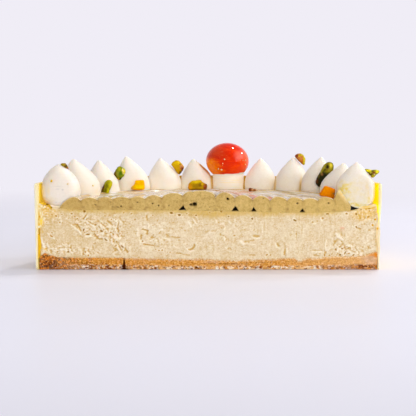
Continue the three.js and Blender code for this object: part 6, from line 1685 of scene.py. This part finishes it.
x_, z_ = spot(268.9, 196.2, 22.0)
crumbs("red_crumb", [(x_, 22.0, z_, 0.75), (x_ + 0.7, 22.3, z_ - 0.35, 0.6), (x_ - 0.6, 22.2, z_ + 0.2, 0.45)], NUT, 6, [(214, 120, 96), (176, 92, 60), (226, 150, 120)])
# a pale sheet over the shaded crease at the foot of the left-hand kiss: painted light
outlined("crease_light_left", None, "white_cream", jelly_material("crease_light_left"), [(49.2, 203.8), (53.0, 205.2), (57.0, 206.1), (60.4, 205.8), (60.6, 207.4), (57.0, 208.1), (53.4, 207.5), (51.0, 206.2)], 0.3, 0.34, (246, 226, 196),
         [(57.0, 207.4, 3.0, 0.6, (232, 200, 150), 0.7), (51.6, 205.6, 1.6, 0.8, (250, 232, 204), 0.8)], 51.0, rough=0.4)
# a pale golden sheet over the contact shadow under the right-hand kiss: painted light, with painted highlights on its
# rim
outlined("crease_light_right", None, "cheesecake", jelly_material("crease_light_right"), [(356.4, 206.4), (361.0, 206.6), (366.0, 206.0), (370.4, 204.9), (374.4, 203.4), (376.4, 204.2), (376.2, 206.4), (371.0, 207.6), (364.0, 208.4), (358.4, 208.6)], 0.28, 0.3, (250, 222, 158),
         [(366.0, 206.6, 4.0, 0.8, (244, 202, 96), 0.8), (373.0, 205.2, 2.0, 0.9, (255, 240, 196), 0.8), (359.0, 207.2, 1.6, 0.8, (255, 238, 196), 0.7)], 53.0, rough=0.6)
# painted warm shade and light in the gap under the left-hand kiss, laid on as a thin golden sheet
outlined("kiss_gap_shade_line", None, "cheesecake", jelly_material("kiss_gap_shade"), [(38.8, 203.6), (42.0, 202.3), (46.0, 202.8), (49.2, 204.3), (52.0, 206.4), (52.9, 208.0), (51.0, 208.2), (48.2, 206.2), (44.6, 204.5), (40.8, 204.4)], 0.35, 0.35, (236, 190, 60),
         [(41.0, 203.8, 2.4, 1.2, (244, 196, 40), 1), (44.6, 203.4, 1.4, 1.0, (214, 160, 20), 0.9), (47.2, 204.2, 1.4, 1.0, (120, 74, 4), 1), (49.6, 205.6, 1.4, 1.0, (206, 154, 30), 0.9), (51.4, 207.6, 1.2, 1.0, (110, 66, 4), 1)], 47.0, rough=0.5)
# torn curd pressed against the band at the left, and a few specks at the right
# the pale arc along its top is a painted highlight on the glossy edge; the rest is torn curd
outlined("corner_curd", None, "cheesecake", jelly_material("corner_crumb"), [(35.6, 206.0), (37.6, 203.8), (41.0, 203.4), (43.4, 204.6), (43.0, 208.0), (42.0, 212.4), (42.2, 217.0), (43.2, 220.6), (42.2, 225.0), (40.2, 228.4), (37.8, 229.0), (36.2, 225.6), (35.5, 219.0), (35.2, 211.0)], 0.3, 0.32, (245, 216, 140),
         [(40.6, 210.6, 2.4, 6.0, (240, 210, 150), 0.8), (38.0, 206.2, 1.5, 0.8, (242, 196, 60), 0.9), (36.9, 208.2, 1.05, 1.6, (236, 180, 20), 1), (37.6, 211.0, 1.05, 1.6, (234, 178, 14), 1), (38.7, 213.6, 1.05, 1.5, (234, 178, 14), 1), (39.4, 216.6, 1.05, 1.6, (228, 168, 8), 1), (38.6, 219.2, 1.1, 1.3, (230, 172, 10), 1), (37.4, 221.4, 0.8, 1.2, (238, 190, 30), 1),
          (41.0, 220.8, 1.0, 1.6, (254, 220, 60), 1), (41.2, 223.6, 0.9, 1.3, (252, 214, 60), 0.9), (38.9, 224.2, 0.8, 1.6, (236, 180, 14), 1), (36.3, 212.8, 0.7, 1.6, (255, 246, 214), 1), (36.9, 217.0, 0.8, 1.5, (255, 240, 200), 0.9), (40.4, 213.0, 0.8, 1.4, (255, 244, 206), 0.9), (41.4, 216.6, 0.7, 1.0, (255, 240, 196), 0.8),
          (36.9, 224.6, 0.9, 1.4, (255, 252, 236), 1), (38.4, 227.0, 1.2, 1.0, (255, 254, 244), 1), (40.6, 225.8, 0.8, 0.8, (255, 244, 200), 0.9), (41.6, 206.2, 1.2, 0.7, (255, 250, 226), 0.9), (39.6, 208.4, 1.0, 0.7, (255, 244, 206), 0.9), (42.0, 209.4, 0.7, 0.9, (232, 184, 60), 0.8), (39.4, 204.4, 1.6, 0.6, (252, 236, 196), 0.9)], 43.0, rough=1.5)
corner = [(375.4, 219.4, 0.45, 0), (377.6, 228.4, 0.6, 0), (372.8, 225.4, 0.35, 0), (376.4, 212.0, 0.35, 1), (37.4, 229.6, 0.3, 2), (44.8, 206.2, 0.3, 2), (47.4, 208.6, 0.28, 1)]
TONES = [(252, 204, 50), (244, 212, 124), (255, 246, 214)]
rows = [(*spot(px, py, 0.3), 0.3, size) for px, py, size, _ in corner]
crumbs("corner_bits", [(x, d, z, size * 1.25) for x, z, d, size in rows], jelly_material("speck"), 9, [TONES[c] for _, _, _, c in corner], 0.34)
# a golden sheet in the gap between cheesecake and band at the left: painted glow standing in for the lit band seen deep
# in the gap
outlined("band_gap_glow", None, "yellow_band", jelly_material("gap_glow_sheet"), [(37.5, 229.6), (38.9, 229.0), (39.2, 235.0), (40.2, 238.4), (41.5, 242.0), (41.2, 247.0), (39.9, 251.5), (39.2, 257.0), (38.9, 262.0), (38.9, 267.6), (37.8, 267.6), (37.5, 255.0), (37.3, 241.0)], 0.24, 0.24, (238, 186, 34),
         [(40.6, 243.0, 1.2, 4.0, (246, 200, 60), 0.8), (38.2, 247.0, 0.7, 10.0, (226, 170, 16), 0.8), (38.4, 233.0, 0.8, 3.0, (228, 172, 24), 0.7), (38.4, 262.0, 0.8, 6.0, (232, 190, 70), 0.8)], 49.0, rough=0.5)
outlined("cheese_smear", None, "cheesecake", jelly_material("thin_smear"), [(376.4, 215.0), (378.6, 217.0), (379.6, 222.0), (379.9, 234.0), (379.8, 246.0), (379.4, 256.0), (379.0, 265.0), (377.2, 265.0), (376.8, 254.0), (376.2, 236.0)], 0.22, 0.2, (252, 226, 176),
         [(377.6, 228.4, 1.4, 1.3, (244, 186, 50), 0.8), (379.6, 240.0, 0.8, 8.0, (255, 236, 196), 0.6), (377.4, 246.0, 0.8, 5.0, (236, 196, 120), 0.5)], 41.0, rough=0.3)

# ------------------------------------------------------------------ stage, light, camera
BACK = rgb(240, 237, 246)


def surround_share(s, vector):
    """How bright the room is in a direction: the pale wall behind and to the right, dimmer elsewhere."""
    n = s.nt.nodes.new("ShaderNodeVectorMath")
    n.operation = "NORMALIZE"
    s.put(n.inputs[0], vector)
    x, y, z = s.split(n.outputs[0])
    side = s.math("ADD", s.math("MULTIPLY", x, 0.5), s.math("MULTIPLY", y, 0.86))
    share = s.span(side, -0.55, 0.45, 0.3, 1.0)
    lift = s.span(z, 0.2, 0.75, 1.0, 0.4)
    return s.math("MULTIPLY", share, lift)


def stage():
    s = Shader("floor")
    # white table near the cake, running out into the plain surround
    x, y, z = s.split()
    r = s.math("SQRT", s.math("ADD", s.math("MULTIPLY", x, x), s.math("MULTIPLY", y, y)))
    s.set(Base_Color=s.mix(s.span(s.noise(60.0, 2, 0.5), 0.3, 0.7, 0.0, 0.02), rgb(238, 237, 246), rgb(235, 234, 244)), Roughness=s.span(s.noise(40.0, 2, 0.5), 0.3, 0.7, 0.4, 0.46))
    s.bsdf.inputs["Specular IOR Level"].default_value = 0.25
    e = s.nt.nodes.new("ShaderNodeEmission")
    e.inputs[0].default_value = BACK
    s.put(e.inputs[1], surround_share(s, s.coords))
    m = s.nt.nodes.new("ShaderNodeMixShader")
    s.put(m.inputs[0], s.span(r, 0.2, 0.7))
    s.nt.links.new(s.bsdf.outputs[0], m.inputs[1])
    s.nt.links.new(e.outputs[0], m.inputs[2])
    s.nt.links.new(m.outputs[0], s.out.inputs[0])
    rings, around = [0.0, 0.1, 0.2, 0.35, 0.6, 1.0, 1.6, 2.6, 5.0, 9.0, 20.0], 96
    verts, faces = [(0, 0, 0)], []
    for q in rings[1:]:
        verts += [(q * math.cos(2 * math.pi * j / around), q * math.sin(2 * math.pi * j / around), 0) for j in range(around)]
    for j in range(around):
        j2 = (j + 1) % around
        faces.append((0, 1 + j, 1 + j2))
        for i in range(len(rings) - 2):
            a, b = 1 + i * around, 1 + (i + 1) * around
            faces.append((a + j, b + j, b + j2, a + j2))
    me = bpy.data.meshes.new("floor")
    me.from_pydata(verts, [], faces)
    me.materials.append(s.mat)
    o = bpy.data.objects.new("floor", me)
    o.location = (0, 0, -0.0001)
    bpy.context.scene.collection.objects.link(o)


stage()


class Surround(Shader):
    """The world's node tree, with the same helpers."""

    def __init__(self, world):
        self.nt = world.node_tree
        self.coords = self.nt.nodes.new("ShaderNodeTexCoord").outputs["Generated"]


world = bpy.data.worlds.new("surround")
bpy.context.scene.world = world
world.use_nodes = True
w = Surround(world)
sky = world.node_tree.nodes["Background"]
sky.inputs[0].default_value = BACK
w.put(sky.inputs[1], surround_share(w, w.coords))


def area(name, where, at, size, power, colour=(1, 1, 1), glossy=True):
    light = bpy.data.lights.new(name, "AREA")
    light.shape = "DISK"
    light.size = size
    light.energy = power
    light.color = colour
    o = bpy.data.objects.new(name, light)
    o.location = where
    o.rotation_mode = "QUATERNION"
    o.rotation_quaternion = (Vector(at) - Vector(where)).to_track_quat("-Z", "Y")
    o.visible_glossy = glossy
    bpy.context.scene.collection.objects.link(o)


area("lamp_top", (0.31, 0.37, 0.98), (0, 0, 0.04), 0.1, 2.4)
area("lamp_right", (0.84, 0.43, 0.66), (0, 0, 0.04), 0.12, 2.2)
area("softbox_right", (1.7, 0.02, 0.85), (0, 0, 0.04), 0.9, 2.8)
area("window_right", (1.45, -0.85, 0.46), (0, 0, 0.05), 0.95, 5.9)
area("fill_front", (0.0, -2.6, 0.8), (0, 0, 0.04), 2.4, 43.4, glossy=False)
area("fill_top", (0.1, -0.2, 1.6), (0, 0, 0.0), 1.4, 6.0, glossy=False)

cam = bpy.data.cameras.new("camera")
cam.sensor_width = 36.0
cam.sensor_fit = "AUTO"
cam.lens = CAM_F / 416.0 * 36.0
cam.clip_start, cam.clip_end = 0.01, 100.0
cam_o = bpy.data.objects.new("camera", cam)
cam_o.location = (0, (CUT_Y - CAM_D) * 0.001, CAM_H * 0.001)
cam_o.rotation_euler = (math.pi / 2 - CAM_PITCH, 0, 0)
bpy.context.scene.collection.objects.link(cam_o)
bpy.context.scene.camera = cam_o
bpy.context.scene.view_settings.view_transform = "Standard"
bpy.context.scene.view_settings.look = "None"
